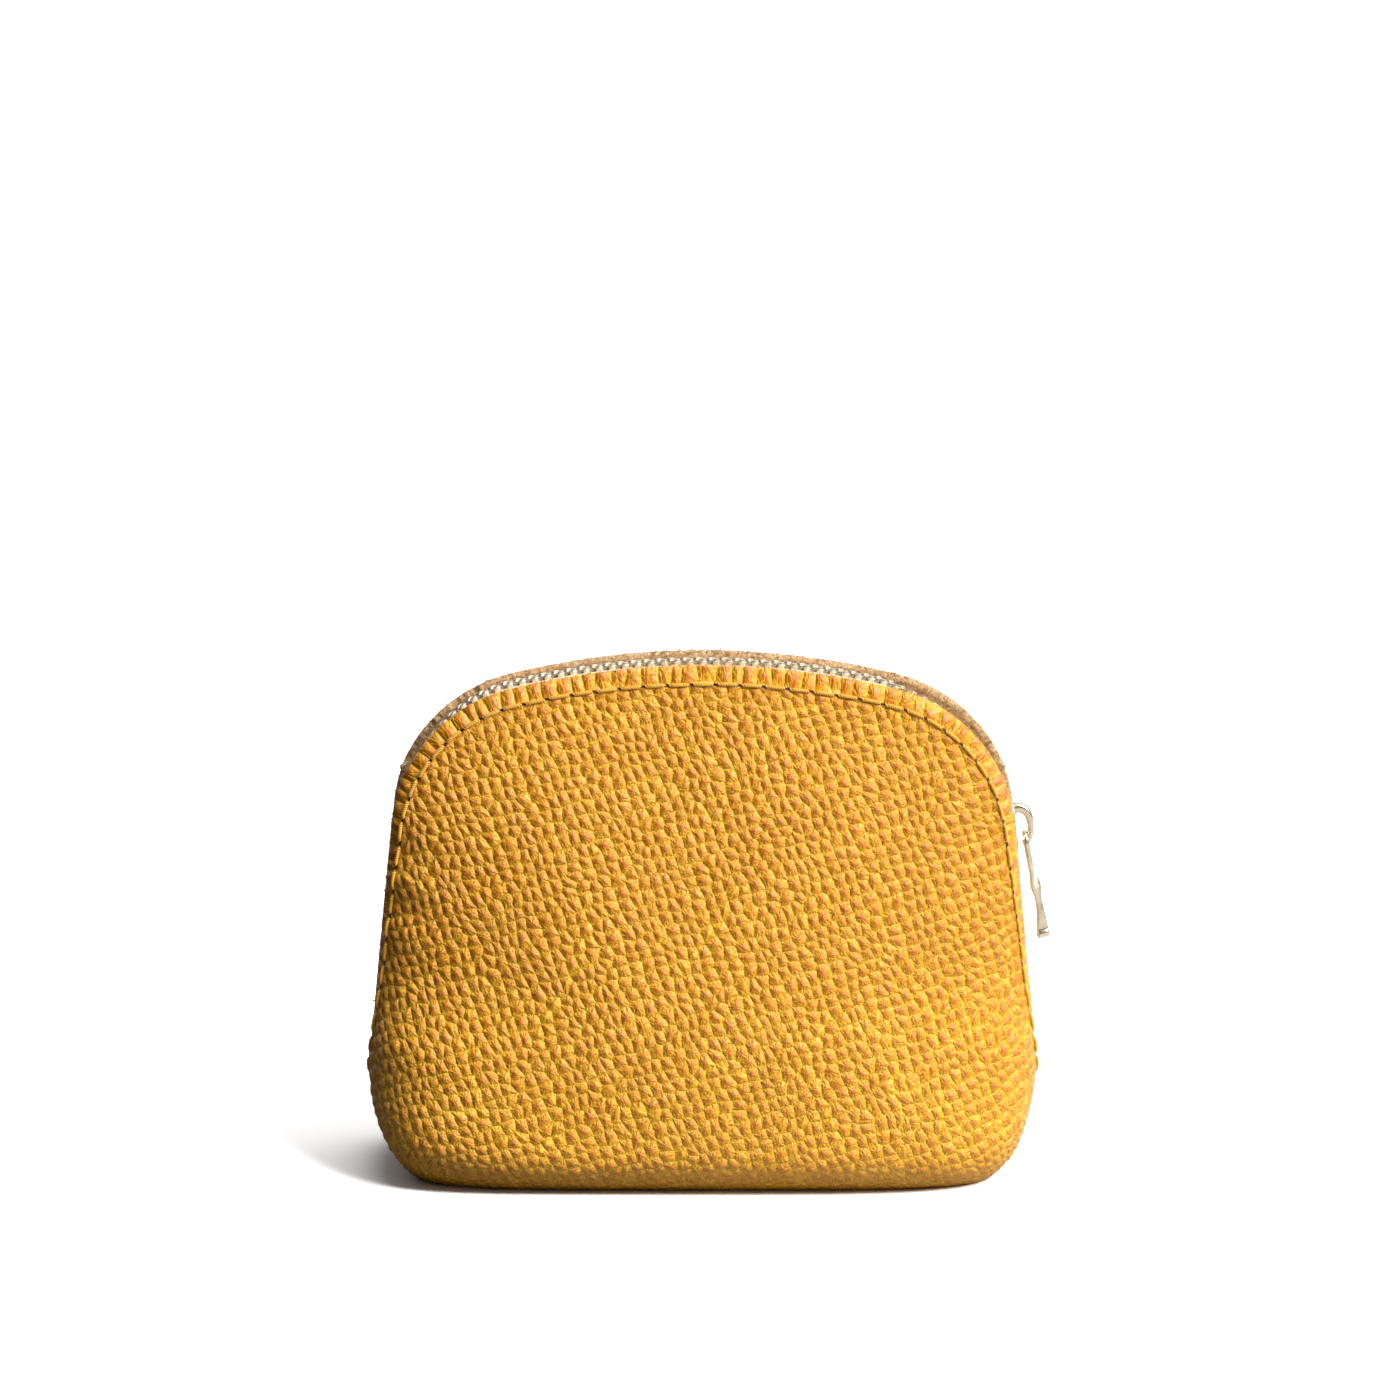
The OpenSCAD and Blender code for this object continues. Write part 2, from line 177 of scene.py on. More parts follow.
def lip(z):
    return mix(SEAM_GAP, LIP_GAP, smooth((np.asarray(z, float) - LIP_START) / (LIP_END - LIP_START)))


def face_y(x, z):
    """Distance of the leather's face from the middle plane."""
    k = mix(BASE_SQUARE, 2, smooth(np.asarray(z, float) / ROUND_Z))
    across = np.clip(np.abs(x) / half_width(z), 0, 1)
    return lip(z) + np.maximum(0, half_depth(z) - lip(z)) * np.maximum(0, 1 - across**k) ** (1 / k)


def skin(x, z, depth):
    """Point of the back face at (x, z), moved inward by depth, and the face's normal."""
    step = 0.05
    hx = np.where(x > 0, -step, step)
    hz = np.where(z > BELLY_Z, -step, step)
    y = face_y(x, z)
    slope_x = (face_y(x + hx, z) - y) / hx
    slope_z = (face_y(x, z + hz) - y) / hz
    normal = unit(np.stack([-slope_x, np.ones_like(y), -slope_z], -1))
    return np.stack([x, y, z], -1) - np.asarray(depth)[..., None] * normal, normal


def near_edge(s, reach, depth):
    """Point that lies reach along the leather from its lip at s, moved inward by depth, and its normal."""
    x, z, angle = outline(s)
    low, high = np.zeros_like(x), np.full_like(x, 12.0)
    for _ in range(20):
        middle = (low + high) / 2
        rise = face_y(x - middle * np.sin(angle), z - middle * np.cos(angle)) - lip(z)
        far = np.hypot(middle, rise) > reach
        high = np.where(far, middle, high)
        low = np.where(far, low, middle)
    return skin(x - low * np.sin(angle), z - low * np.cos(angle), depth)


def over_edge(s, y, n):
    """Point at height n above the outline and y from the middle plane."""
    x, z, angle = outline(s)
    return np.stack([x + n * np.sin(angle), y + 0 * x, z + n * np.cos(angle)], -1)


def chain_at(s):
    """Height of the middle of the chain, which lies near the lips over the crown and sinks down the sides.

    On the right shoulder it sags a little between the crown and the slider.
    """
    sunk = smooth((np.abs(s) - CROWN_LEN) / (0.85 * SHOULDER_LEN))
    above_slider = side_s(SLIDER_Z + SLIDER_LEN / 2)
    sag = smooth((s - SAG_START) / SAG_EASE) * smooth((above_slider - s) / SAG_EASE)
    return mix(CHAIN_CROWN_N, CHAIN_N, sunk) - SAG * sag


def edge_place(x, z):
    """Distance along the outline, and along the leather from its lip, of the back face at (x, z)."""
    side = np.where(x < 0, -1.0, 1.0)
    x_right = np.abs(x)
    crown = np.arctan2(x_right, z - CROWN_CZ)
    shoulder = np.arctan2(x_right - SHOULDER_X, z - SHOULDER_Z)
    down = (x_right - TANGENT_X) * math.sin(LEAN) - (z - TANGENT_Z) * math.cos(LEAN)
    inset = (TANGENT_X - x_right) * math.cos(LEAN) - (z - TANGENT_Z) * math.sin(LEAN)
    where = [crown < CROWN_TURN, shoulder < math.pi / 2 - LEAN]
    s = np.select(
        where,
        [crown * CROWN_R, CROWN_LEN + (shoulder - CROWN_TURN) * SHOULDER_R],
        CROWN_LEN + SHOULDER_LEN + down,
    )
    q = np.select(
        where,
        [
            CROWN_R - np.hypot(x_right, z - CROWN_CZ),
            SHOULDER_R - np.hypot(x_right - SHOULDER_X, z - SHOULDER_Z),
        ],
        inset,
    )
    edge_z = outline(s)[1]
    return side * s, np.hypot(q, face_y(x, z) - lip(edge_z))


# ---------------- mesh helpers
class Mesh:
    """Gathers points and faces, in millimetres, and makes one piece of them."""

    def __init__(self):
        self.points, self.faces, self.slots, self.count = [], [], [], 0

    def add(self, points, faces, slot=0):
        """faces is a list of arrays, each with one face a row."""
        points = np.asarray(points, float).reshape(-1, 3)
        for rows in faces:
            rows = np.asarray(rows, int)
            if len(rows):
                self.faces.append(rows + self.count)
                self.slots.append(np.full(len(rows), slot))
        self.points.append(points)
        self.count += len(points)

    def piece(self, name, materials, attributes=()):
        mesh = bpy.data.meshes.new(name)
        points = np.concatenate(self.points) * MM
        corners = np.concatenate([rows.ravel() for rows in self.faces])
        sizes = np.concatenate([np.full(len(rows), rows.shape[1]) for rows in self.faces])
        mesh.vertices.add(len(points))
        mesh.vertices.foreach_set("co", points.astype(np.float32).ravel())
        mesh.loops.add(len(corners))
        mesh.loops.foreach_set("vertex_index", corners.astype(np.int32))
        mesh.polygons.add(len(sizes))
        mesh.polygons.foreach_set("loop_start", (np.cumsum(sizes) - sizes).astype(np.int32))
        mesh.polygons.foreach_set("material_index", np.concatenate(self.slots).astype(np.int32))
        mesh.update(calc_edges=True)
        mesh.validate()
        mesh.polygons.foreach_set("use_smooth", np.ones(len(mesh.polygons), bool))
        for key, values in dict(attributes).items():
            layer = mesh.attributes.new(key, "FLOAT_VECTOR", "POINT")
            layer.data.foreach_set("vector", np.asarray(values, np.float32).ravel())
        for material in materials:
            mesh.materials.append(material)
        piece = bpy.data.objects.new(name, mesh)
        bpy.context.scene.collection.objects.link(piece)
        return piece


def lattice(rows, cols, close=False):
    """Quads of a grid of points listed row by row; close joins the last column to the first."""
    r = np.arange(rows - 1)[:, None]
    c = np.arange(cols if close else cols - 1)[None, :]
    a, b = r * cols + c, r * cols + (c + 1) % cols
    return np.stack([a, b, b + cols, a + cols], -1).reshape(-1, 4)


def border(rows, cols):
    """Indices round the edge of a grid of points listed row by row."""
    grid = np.arange(rows * cols).reshape(rows, cols)
    return np.concatenate([grid[0, :-1], grid[:-1, -1], grid[-1, :0:-1], grid[:0:-1, 0]])


def frames(path):
    """Two directions across a path that don't twist, at each of its points."""
    tangent = unit(np.gradient(path, axis=0))
    start = np.eye(3)[np.argmin(np.abs(tangent[0]))]
    across = np.cross(tangent[0], start)
    out = []
    for t in tangent:
        across = unit(across - t * (across @ t))
        out.append(across)
    across = np.array(out)
    return across, np.cross(tangent, across)


def tube(mesh, path, radius, sides):
    """Round bar along a path; radius is one number or one for each point."""
    u, v = frames(path)
    turn = np.linspace(0, 2 * math.pi, sides, endpoint=False)
    radius = np.broadcast_to(radius, len(path))[:, None, None]
    ring = u[:, None] * np.cos(turn)[None, :, None] + v[:, None] * np.sin(turn)[None, :, None]
    loft(mesh, path[:, None] + radius * ring)


def loft(mesh, sections, ring=False):
    """Surface through closed cross-sections, each a list of points; ring joins the last to the first."""
    sections = np.asarray(sections, float)
    count, size = sections.shape[:2]
    faces = [lattice(count, size, close=True)]
    last, around = (count - 1) * size, np.arange(size)
    if ring:
        ahead = np.roll(around, -1)
        faces.append(np.stack([last + around, last + ahead, ahead, around], -1))
    else:
        faces += [around[None, ::-1], around[None, :] + last]
    mesh.add(sections, faces)


def rounded(corners, radius, steps=4):
    """Closed outline through the corners, each cut by a smooth curve of about that radius."""
    corners = np.asarray(corners, float)
    points = []
    for before, corner, after in zip(np.roll(corners, 1, 0), corners, np.roll(corners, -1, 0)):
        into, out = before - corner, after - corner
        cut = min(radius, 0.49 * np.linalg.norm(into), 0.49 * np.linalg.norm(out))
        a, b = corner + unit(into) * cut, corner + unit(out) * cut
        for f in np.linspace(0, 1, steps + 1):
            points.append((1 - f) ** 2 * a + 2 * f * (1 - f) * corner + f**2 * b)
    return np.array(points)


def inset(points, distance):
    """The closed outline, counter-clockwise, moved inward."""
    ahead = unit(np.roll(points, -1, 0) - points)
    normals = np.stack([ahead[:, 1], -ahead[:, 0]], -1)
    return points - unit(normals + np.roll(normals, 1, 0)) * distance


def rounded_block(points, low, high, edge, steps=3):
    """Cross-sections [a, b, height] of a plate with that outline and rounded edges."""
    turns = np.linspace(0, math.pi / 2, steps + 1)
    levels = [(low + edge * (1 - math.cos(t)), edge * (1 - math.sin(t))) for t in turns]
    levels += [(high - (h - low), i) for h, i in levels[::-1]]
    return [np.column_stack([inset(points, i), np.full(len(points), h)]) for h, i in levels]


# ---------------- node helpers
class Value:
    """A node's output that can be added, taken away and multiplied as a number can."""

    def __init__(self, nodes, socket):
        self.nodes, self.socket = nodes, socket

    def __add__(self, other):
        return self.nodes.math("ADD", self, other)

    def __sub__(self, other):
        return self.nodes.math("SUBTRACT", self, other)

    def __rsub__(self, other):
        return self.nodes.math("SUBTRACT", other, self)

    def __mul__(self, other):
        return self.nodes.math("MULTIPLY", self, other)

    def __abs__(self):
        return self.nodes.math("ABSOLUTE", self)


class Nodes:
    """Adds nodes to a tree. The same calls work in shader trees and geometry trees."""

    def __init__(self, tree):
        self.tree = tree

    def add(self, kind, inputs=None, **settings):
        node = self.tree.nodes.new(kind)
        for key, value in settings.items():
            setattr(node, key, value)
        for key, value in (inputs or {}).items():
            self.put(node.inputs[key], value)
        return node

    def make(self, kind, output, inputs=None, **settings):
        """One output, by name or number, of a new node."""
        return Value(self, self.add(kind, inputs, **settings).outputs[output])

    def put(self, socket, value):
        if isinstance(value, Value):
            value = value.socket
        if isinstance(value, bpy.types.NodeSocket):
            self.tree.links.new(value, socket)
        else:
            socket.default_value = value

    def math(self, operation, a, b=0.0, clamp=False):
        return self.make("ShaderNodeMath", 0, {0: a, 1: b}, operation=operation, use_clamp=clamp)

    def larger(self, a, b):
        return self.math("MAXIMUM", a, b)

    def vector(self, operation, a, b=(0, 0, 0)):
        inputs = {0: a, 3 if operation == "SCALE" else 1: b}
        output = "Value" if operation == "LENGTH" else "Vector"
        return self.make("ShaderNodeVectorMath", output, inputs, operation=operation)

    def split(self, value):
        return [Value(self, part) for part in self.add("ShaderNodeSeparateXYZ", {0: value}).outputs]

    def join(self, x, y):
        return self.make("ShaderNodeCombineXYZ", 0, {0: x, 1: y})

    def step(self, value, low, high, start=0.0, end=1.0):
        """Goes smoothly from start to end as value goes from low to high."""
        inputs = {0: value, 1: low, 2: high, 3: start, 4: end}
        return self.make("ShaderNodeMapRange", 0, inputs, interpolation_type="SMOOTHSTEP")

    def noise(self, value, scale, detail=2.0, roughness=0.5, out=0):
        inputs = {"Vector": value, "Scale": scale, "Detail": detail, "Roughness": roughness}
        return self.make("ShaderNodeTexNoise", out, inputs)

    def cells(self, place, size, randomness, feature="F1"):
        """The outputs of a pattern of cells of about that size."""
        inputs = {"Vector": place, "Scale": 1 / size, "Randomness": randomness}
        settings = {"feature": feature, "voronoi_dimensions": "2D"}
        return self.add("ShaderNodeTexVoronoi", inputs, **settings).outputs

    def net(self, place, size, randomness=1.0):
        """Distance from the edges between cells of about that size."""
        return Value(self, self.cells(place, size, randomness, "DISTANCE_TO_EDGE")["Distance"]) * size

    def line(self, distance, width):
        """1 on a line, falling to 0 at width from it."""
        return self.step(distance, 0.0, width, 1.0, 0.0)

    def object_place(self):
        return self.vector("SCALE", self.make("ShaderNodeTexCoord", "Object"), 1 / MM)

    def blend(self, factor, a, b):
        return self.make("ShaderNodeMix", 1, {0: factor, 4: a, 5: b}, data_type="VECTOR")

    def color(self, factor, a, b, blend="MIX"):
        inputs = {0: factor, 6: a, 7: b}
        return self.make("ShaderNodeMix", 2, inputs, data_type="RGBA", blend_type=blend)


def srgb(code):
    """Linear colour of a six-digit hex code."""
    values = [int(code[i : i + 2], 16) / 255 for i in (0, 2, 4)]
    return (*[v / 12.92 if v <= 0.04045 else ((v + 0.055) / 1.055) ** 2.4 for v in values], 1)


def new_material(name):
    """A material, its node helper and its Principled shader."""
    material = bpy.data.materials.new(name)
    material.use_nodes = True
    nodes = Nodes(material.node_tree)
    return material, nodes, material.node_tree.nodes["Principled BSDF"]


def shade(nodes, shader, **inputs):
    """Sets the shader's inputs, whose names are written with _ for a space."""
    for name, value in inputs.items():
        nodes.put(shader.inputs[name.replace("_", " ")], value)


def attribute(nodes, name):
    return nodes.make("ShaderNodeAttribute", "Vector", attribute_name=name)


def bump(nodes, height, distance, strength=1.0, normal=None):
    inputs = {"Height": height, "Distance": distance * MM, "Strength": strength}
    if normal is not None:
        inputs["Normal"] = normal
    return nodes.make("ShaderNodeBump", 0, inputs)


# ---------------- leather grain
PEBBLE, FACET, HAIR, LONG_CREASE = 2.4, 1.2, 0.8, 9.5
PEBBLE_RANDOMNESS = 0.52
GRAIN_TILT = math.radians(20)
HERRINGBONE = 1.4


def grain(nodes, field, edge):
    """The pebbled grain at a place on the leather, as sockets: distances from the creases and pebble shape.

    field is the place across and up the leather, and edge the place along and in from the lip.
    """
    u, v, _ = nodes.split(field)
    s, reach, _ = nodes.split(edge)
    cos, sin = math.cos(GRAIN_TILT), math.sin(GRAIN_TILT)
    body = nodes.join(u * cos + v * sin, (v * cos - u * sin) * 0.88)
    strip = nodes.join(s * 0.8, reach * 0.36 + 300.0)
    place = nodes.blend(nodes.math("GREATER_THAN", reach, STITCH_INSET), strip, body)

    # Both drifts are read before either is added
    drifts = []
    for scale, amount in ((0.09, 3.0), (0.45, 0.6)):
        drift = nodes.vector("SUBTRACT", nodes.noise(place, scale, 1.0, out=1), (0.5, 0.5, 0.5))
        drifts.append(nodes.vector("SCALE", drift, amount))
    for drift in drifts:
        place = nodes.vector("ADD", place, drift)

    cell = nodes.cells(place, PEBBLE, PEBBLE_RANDOMNESS)
    away = nodes.vector("SUBTRACT", place, cell["Position"])
    x, y, _ = nodes.split(place)
    return {
        "place": place,
        "crease": nodes.net(place, PEBBLE, PEBBLE_RANDOMNESS),
        "long": nodes.net(nodes.join(x, y * 0.4), LONG_CREASE, 0.95),
        "random": cell["Color"],
        "away": away,
        "radius": nodes.vector("LENGTH", away),
    }


def pebble_height(nodes, g):
    """Broad relief of the pebbles, from 0 in the creases to about 1 on top."""
    plate = nodes.step(g["crease"], -0.5, 1.3, -0.2, 1.0)
    dome = nodes.step(g["radius"], 0.0, 1.7, 1.0, 0.0)
    fold = nodes.step(g["long"], -0.3, 1.0)
    return plate * 0.6 + dome * 0.28 + fold * 0.12


def relief_tree():
    """Geometry nodes that write the pebbles' height, so that the mesh and the shader agree."""
    tree = bpy.data.node_groups.new("pebble_relief", "GeometryNodeTree")
    tree.interface.new_socket("Geometry", in_out="INPUT", socket_type="NodeSocketGeometry")
    tree.interface.new_socket("Geometry", in_out="OUTPUT", socket_type="NodeSocketGeometry")
    nodes = Nodes(tree)
    places = [
        nodes.make("GeometryNodeInputNamedAttribute", 0, {"Name": name}, data_type="FLOAT_VECTOR")
        for name in ("field", "edge")
    ]
    height = pebble_height(nodes, grain(nodes, *places))
    start, end = nodes.add("NodeGroupInput"), nodes.add("NodeGroupOutput")
    named = {"data_type": "FLOAT", "domain": "POINT"}
    store = nodes.add("GeometryNodeStoreNamedAttribute", {"Name": "relief"}, **named)
    nodes.put(store.inputs["Value"], height)
    nodes.put(store.inputs["Geometry"], start.outputs[0])
    nodes.put(end.inputs[0], store.outputs[0])
    return tree


def relief_at(field, edge, tree):
    """Height of the pebbles at each place, as an array."""
    probe = bpy.data.meshes.new("probe")
    probe.vertices.add(len(field))
    for name, values in (("field", field), ("edge", edge)):
        layer = probe.attributes.new(name, "FLOAT_VECTOR", "POINT")
        layer.data.foreach_set("vector", values.astype(np.float32).ravel())
    holder = bpy.data.objects.new("probe", probe)
    bpy.context.scene.collection.objects.link(holder)
    holder.modifiers.new("relief", "NODES").node_group = tree
    evaluated = holder.evaluated_get(bpy.context.evaluated_depsgraph_get())
    heights = np.zeros(len(field), np.float32)
    evaluated.data.attributes["relief"].data.foreach_get("value", heights)
    bpy.data.objects.remove(holder)
    bpy.data.meshes.remove(probe)
    return heights.astype(float)


def wrinkles_on(nodes, g):
    """Fine wrinkles out from the middle of each pebble, a net that cuts it up, and hair lines."""
    away_x, away_y, _ = nodes.split(g["away"])
    swirl = nodes.noise(g["place"], 0.9, 2.0) * 9.0 + nodes.split(g["random"])[0] * 40.0
    spokes = nodes.math("SINE", nodes.math("ARCTAN2", away_y, away_x) * 8.0 + swirl)
    spokes = nodes.step(spokes, 0.1, 0.95) * nodes.step(g["radius"], 0.25, 1.05)
    facet = nodes.line(nodes.net(g["place"], FACET), 0.15) * nodes.step(g["radius"], 0.2, 1.0, 0.25, 1.0)
    return spokes, facet, nodes.line(nodes.net(g["place"], HAIR), 0.14)


def needle_holes(nodes, edge):
    """The holes between the stitches, which the leather paints near-black as painted shade, and the band
    along them that it paints darker, partly as a stain and partly as painted shade of the groove.
    """
    s, reach, _ = nodes.split(edge)
    turn = s * (1 / STITCH_PITCH) + 400.0
    off = abs(nodes.math("FRACT", turn) - 0.5) * STITCH_PITCH
    aside = abs(reach - STITCH_INSET)
    above = nodes.math("LESS_THAN", abs(s), side_s(LIP_START))
    # The hole mask, which the leather paints near-black: painted shade inside the holes
    hole = nodes.step(off, 0.7, 1.05, 1.0, 0.0) * nodes.step(aside, 0.14, 0.3, 1.0, 0.0) * above
    # The band along the stitches, which the leather paints darker: partly a stain, partly painted shade of
    # the groove
    return hole, nodes.step(aside, 0.2, 0.55, 0.6, 0.0) * above


def leather_material():
    material, nodes, shader = new_material("leather_grain")
    field, edge = attribute(nodes, "field"), attribute(nodes, "edge")
    g = grain(nodes, field, edge)
    spokes, facet, hair = wrinkles_on(nodes, g)
    hole, stain_and_shade = needle_holes(nodes, edge)
    pores = nodes.noise(field, 9.0, 3.0, 0.65)

    # The web is bold low down and fades towards the lip, where the leather is stretched over the zipper
    bold = nodes.step(nodes.split(field)[1], 25.0, 105.0, 1.0, 0.7)
    web = nodes.larger(nodes.line(g["crease"], 0.38), nodes.line(g["long"], 0.36))
    lines = nodes.larger(spokes * 0.85 + hair * 0.4, facet * 0.8)
    pale = nodes.math("MULTIPLY", nodes.larger(web, lines), bold, clamp=True)

    # Colour: dark orange cores, paler yellow where the dye has worn thin in the web, and painted shade in the
    # middle of the creases, along the stitches and in the needle holes
    drift = nodes.step(nodes.noise(field, 0.035, 2.0), 0.3, 0.7) * 0.5
    own_shade = nodes.step(nodes.split(g["random"])[1], 0.0, 1.0)
    core = nodes.color(own_shade, srgb("B85A00"), srgb("D07400"))
    core = nodes.color(drift, core, srgb("C27000"))
    tint = nodes.color(nodes.step(g["crease"], 0.1, 0.8), srgb("E08E00"), core)
    for amount, code in (
        (pale, "F8C014"),
        (nodes.step(pores, 0.35, 0.75, 0.0, 0.25), "B46600"),
        # Dark lines in the middle of the creases: painted shade
        (nodes.step(g["crease"], 0.0, 0.09, 0.45, 0.0), "864A00"),
        # Darker band along the stitches: partly a stain, partly painted shade of the groove
        (stain_and_shade, "8A5404"),
        # Near-black needle holes: painted shade inside the holes
        (hole, "1E0E02"),
    ):
        tint = nodes.color(amount, tint, srgb(code))

    normal = None
    for height, depth in (
        (pebble_height(nodes, g), 0.42),
        (nodes.step(g["crease"], 0.0, 0.4), 0.13),
        (spokes + facet + hair * 0.5, -0.09),
        (pores, 0.05),
        (1.0 - hole, 0.4),
    ):
        normal = bump(nodes, height, depth, normal=normal)
    rough = pale * 0.14 + pores * 0.08 + 0.29
    shade(nodes, shader, Base_Color=tint, Roughness=rough, IOR=1.5, Specular_IOR_Level=0.7, Normal=normal)
    return material


def suede_material():
    """The leather's cut edges and flesh side."""
    material, nodes, shader = new_material("leather_suede")
    place = nodes.object_place()
    nap = nodes.noise(place, 1.9, 4.0, 0.75)
    patch = nodes.noise(place, 0.35, 2.0)
    tint = nodes.color(nodes.step(nap, 0.38, 0.62), srgb("D08C46"), srgb("FFE2B0"))
    tint = nodes.color(nodes.step(patch, 0.3, 0.75, 0.0, 0.5), tint, srgb("C68C4A"))
    shade(nodes, shader, Base_Color=tint, Roughness=0.95, Specular_IOR_Level=0.15, Sheen_Weight=0.35)
    shade(nodes, shader, Normal=bump(nodes, nap, 0.9))
    return material


def tape_material():
    """Cream herringbone tape; the field attribute is the place along and across it."""
    material, nodes, shader = new_material("zip_tape_weave")
    field = attribute(nodes, "field")
    along, across, _ = nodes.split(field)
    band = nodes.math("PINGPONG", across, HERRINGBONE) * 1.2
    rib = nodes.math("SINE", (along + band) * 13.0)
    weave = rib + nodes.math("SINE", across * 17.0) * 0.35
    fuzz = nodes.noise(field, 7.0, 3.0, 0.7)
    tint = nodes.color(nodes.step(weave, -1.0, 0.9), srgb("DCCAA2"), srgb("FFF4DC"))
    tint = nodes.color(nodes.step(fuzz, 0.3, 0.8, 0.0, 0.3), tint, srgb("F0DFB8"))
    # Dark brown on the bead under the teeth: painted shade
    tint = nodes.color(nodes.step(across, 0.05, 0.6, 0.85, 0.0), tint, srgb("6E4E22"))
    shade(nodes, shader, Base_Color=tint, Roughness=0.85, Specular_IOR_Level=0.25, Sheen_Weight=0.3)
    shade(nodes, shader, Normal=bump(nodes, weave + fuzz, 0.06))
    return material


def metal_material(name, dark, light, rough, metallic):
    """Pale plating with faint brush marks and small dents."""
    material, nodes, shader = new_material(name)
    place = nodes.object_place()
    cloud = nodes.noise(place, 0.8, 3.0, 0.6)
    marks = nodes.noise(nodes.vector("MULTIPLY", place, (9.0, 9.0, 0.9)), 1.4, 3.0, 0.6)
    tint = nodes.color(nodes.step(cloud, 0.3, 0.75), srgb(dark), srgb(light))
    rough = marks * 0.16 + rough
    normal = bump(nodes, marks, 0.012, normal=bump(nodes, cloud, 0.10, 0.6))
    shade(nodes, shader, Base_Color=tint, Metallic=metallic, Roughness=rough, Normal=normal)
    return material


def thread_material():
    material, nodes, shader = new_material("golden_thread")
    fibre = nodes.noise(nodes.object_place(), 6.0, 3.0, 0.7)
    tint = nodes.color(nodes.step(fibre, 0.25, 0.75), srgb("B87400"), srgb("FFCB40"))
    normal = bump(nodes, fibre, 0.05)
    shade(nodes, shader, Base_Color=tint, Roughness=0.62, Sheen_Weight=0.25, Normal=normal)
    return material


LEATHER = leather_material()
SUEDE = suede_material()
TAPE = tape_material()
METAL = metal_material("champagne_metal", "E4D2B6", "F4E6CE", 0.16, 1.0)
TOOTH_METAL = metal_material("satin_tooth_metal", "F6E6C6", "FFF4DC", 0.3, 0.35)
THREAD = thread_material()
RELIEF = relief_tree()


# ---------------- leather
def plan_point(f, t):
    """(x, z) at f from -1 to 1 across a panel, and t from 0 at the base seam to 1 at the lip.

    Rows are level up to split_z, and above it they fan out to the lip.
    """
    split_z, corner_z = 45.0, 84.0
    low = np.clip(2 * t, 0, 1)
    z_low = -BASE_UNDER + (split_z + BASE_UNDER) * low**2
    x_low = half_width(z_low) * np.sin(f * math.pi / 2)
    up = np.clip(2 * t - 1, 0, 1)
    corner_s = shoulder_s(corner_z)
    bottom_x = half_width(split_z)
    top_x, top_z, _ = outline(f * corner_s)
    corner_x, _, _ = outline(corner_s)
    edge_x, edge_z, _ = outline(mix(side_s(split_z), corner_s, up))
    x = (1 - up) * bottom_x * np.sin(f * math.pi / 2) + up * top_x
    x = x + f * (edge_x - (1 - up) * bottom_x - up * corner_x)
    z = (1 - up) * split_z + up * top_z + edge_z - (1 - up) * split_z - up * corner_z
    return np.where(t < 0.5, x_low, x), np.where(t < 0.5, z_low, z)


def lengths(x, z):
    """Distance along each row of points on the back face."""
    points = np.stack([x, face_y(x, z), np.maximum(z, 0)], -1)
    steps = np.linalg.norm(np.diff(points, axis=-2), axis=-1)
    return np.concatenate([np.zeros((*steps.shape[:-1], 1)), np.cumsum(steps, -1)], -1)


def even_grid(rows, cols):
    """(x, z) of a grid over one panel, with cells about as long as each other."""
    fine = np.linspace(0, 1, 1200)
    f = np.linspace(-1, 1, cols)
    run = lengths(*plan_point(f[:, None], fine[None, :]))
    t = np.array([np.interp(np.linspace(0, r[-1], rows), r, fine) for r in run]).T
    wide = np.linspace(-1, 1, 1200)
    grid_f, grid_t = [], []
    for row in t:
        fine_t = np.interp(wide, f, row)
        run = lengths(*plan_point(wide, fine_t))
        new_f = np.interp(np.linspace(0, run[-1], cols), run, wide)
        grid_f.append(new_f)
        grid_t.append(np.interp(new_f, f, row))
    return plan_point(np.array(grid_f), np.array(grid_t))


def field_of(x, z):
    """Place on the leather: distance across from the middle, and up from the base seam."""
    heights = -BASE_UNDER + (BODY_H + BASE_UNDER) * np.linspace(0, 1, 500) ** 2
    turns = np.linspace(0, math.pi / 2, 400)
    ring_x = half_width(heights)[:, None] * np.sin(turns)
    table = lengths(ring_x, np.broadcast_to(heights[:, None], ring_x.shape))
    turn = np.arcsin(np.clip(np.abs(x) / half_width(z), 0, 1))
    row = np.interp(z, heights, np.arange(len(heights)))
    col = turn / turns[1]
    r0 = np.clip(row.astype(int), 0, len(heights) - 2)
    c0 = np.clip(col.astype(int), 0, len(turns) - 2)
    fr, fc = row - r0, col - c0
    across = (
        table[r0, c0] * (1 - fr) * (1 - fc)
        + table[r0 + 1, c0] * fr * (1 - fc)
        + table[r0, c0 + 1] * (1 - fr) * fc
        + table[r0 + 1, c0 + 1] * fr * fc
    )
    up = np.interp(z, heights, lengths(np.zeros(500), heights))
    return np.sign(x) * across, up


def waves(x, z, side):
    """Soft waves of the leather, in millimetres outward; fades out at the edges, the base and the corners."""
    flip = 0.0 if side == FRONT else 2.1
    broad = np.sin(x / 13.0 + z / 31.0 + flip) * np.sin(z / 19.0 + 0.6 + flip) * 0.34
    slant = np.sin((x + 0.55 * z) / 7.3 + 1.1 * np.sin(z / 23.0) + flip) * 0.16
    puckers = np.sin(z / 1.9 + x / 9.0) * np.exp(-(((x + 62) / 7.0) ** 2) - ((z - 62) / 16.0) ** 2) * 0.32
    inside = smooth((z - 3) / 12) * smooth(edge_place(x, z)[1] / 9)
    return (broad + slant) * inside + puckers * smooth(edge_place(x, z)[1] / 3)


def surface_normals(points):
    across = np.gradient(points, axis=1)
    up = np.gradient(points, axis=0)
    return unit(np.cross(up, across))


PEBBLE_DEPTH = 0.4
GROOVE_DEPTH = 0.22
BACK_RISE = 0.8
CORNER_SEAM_Z = 4


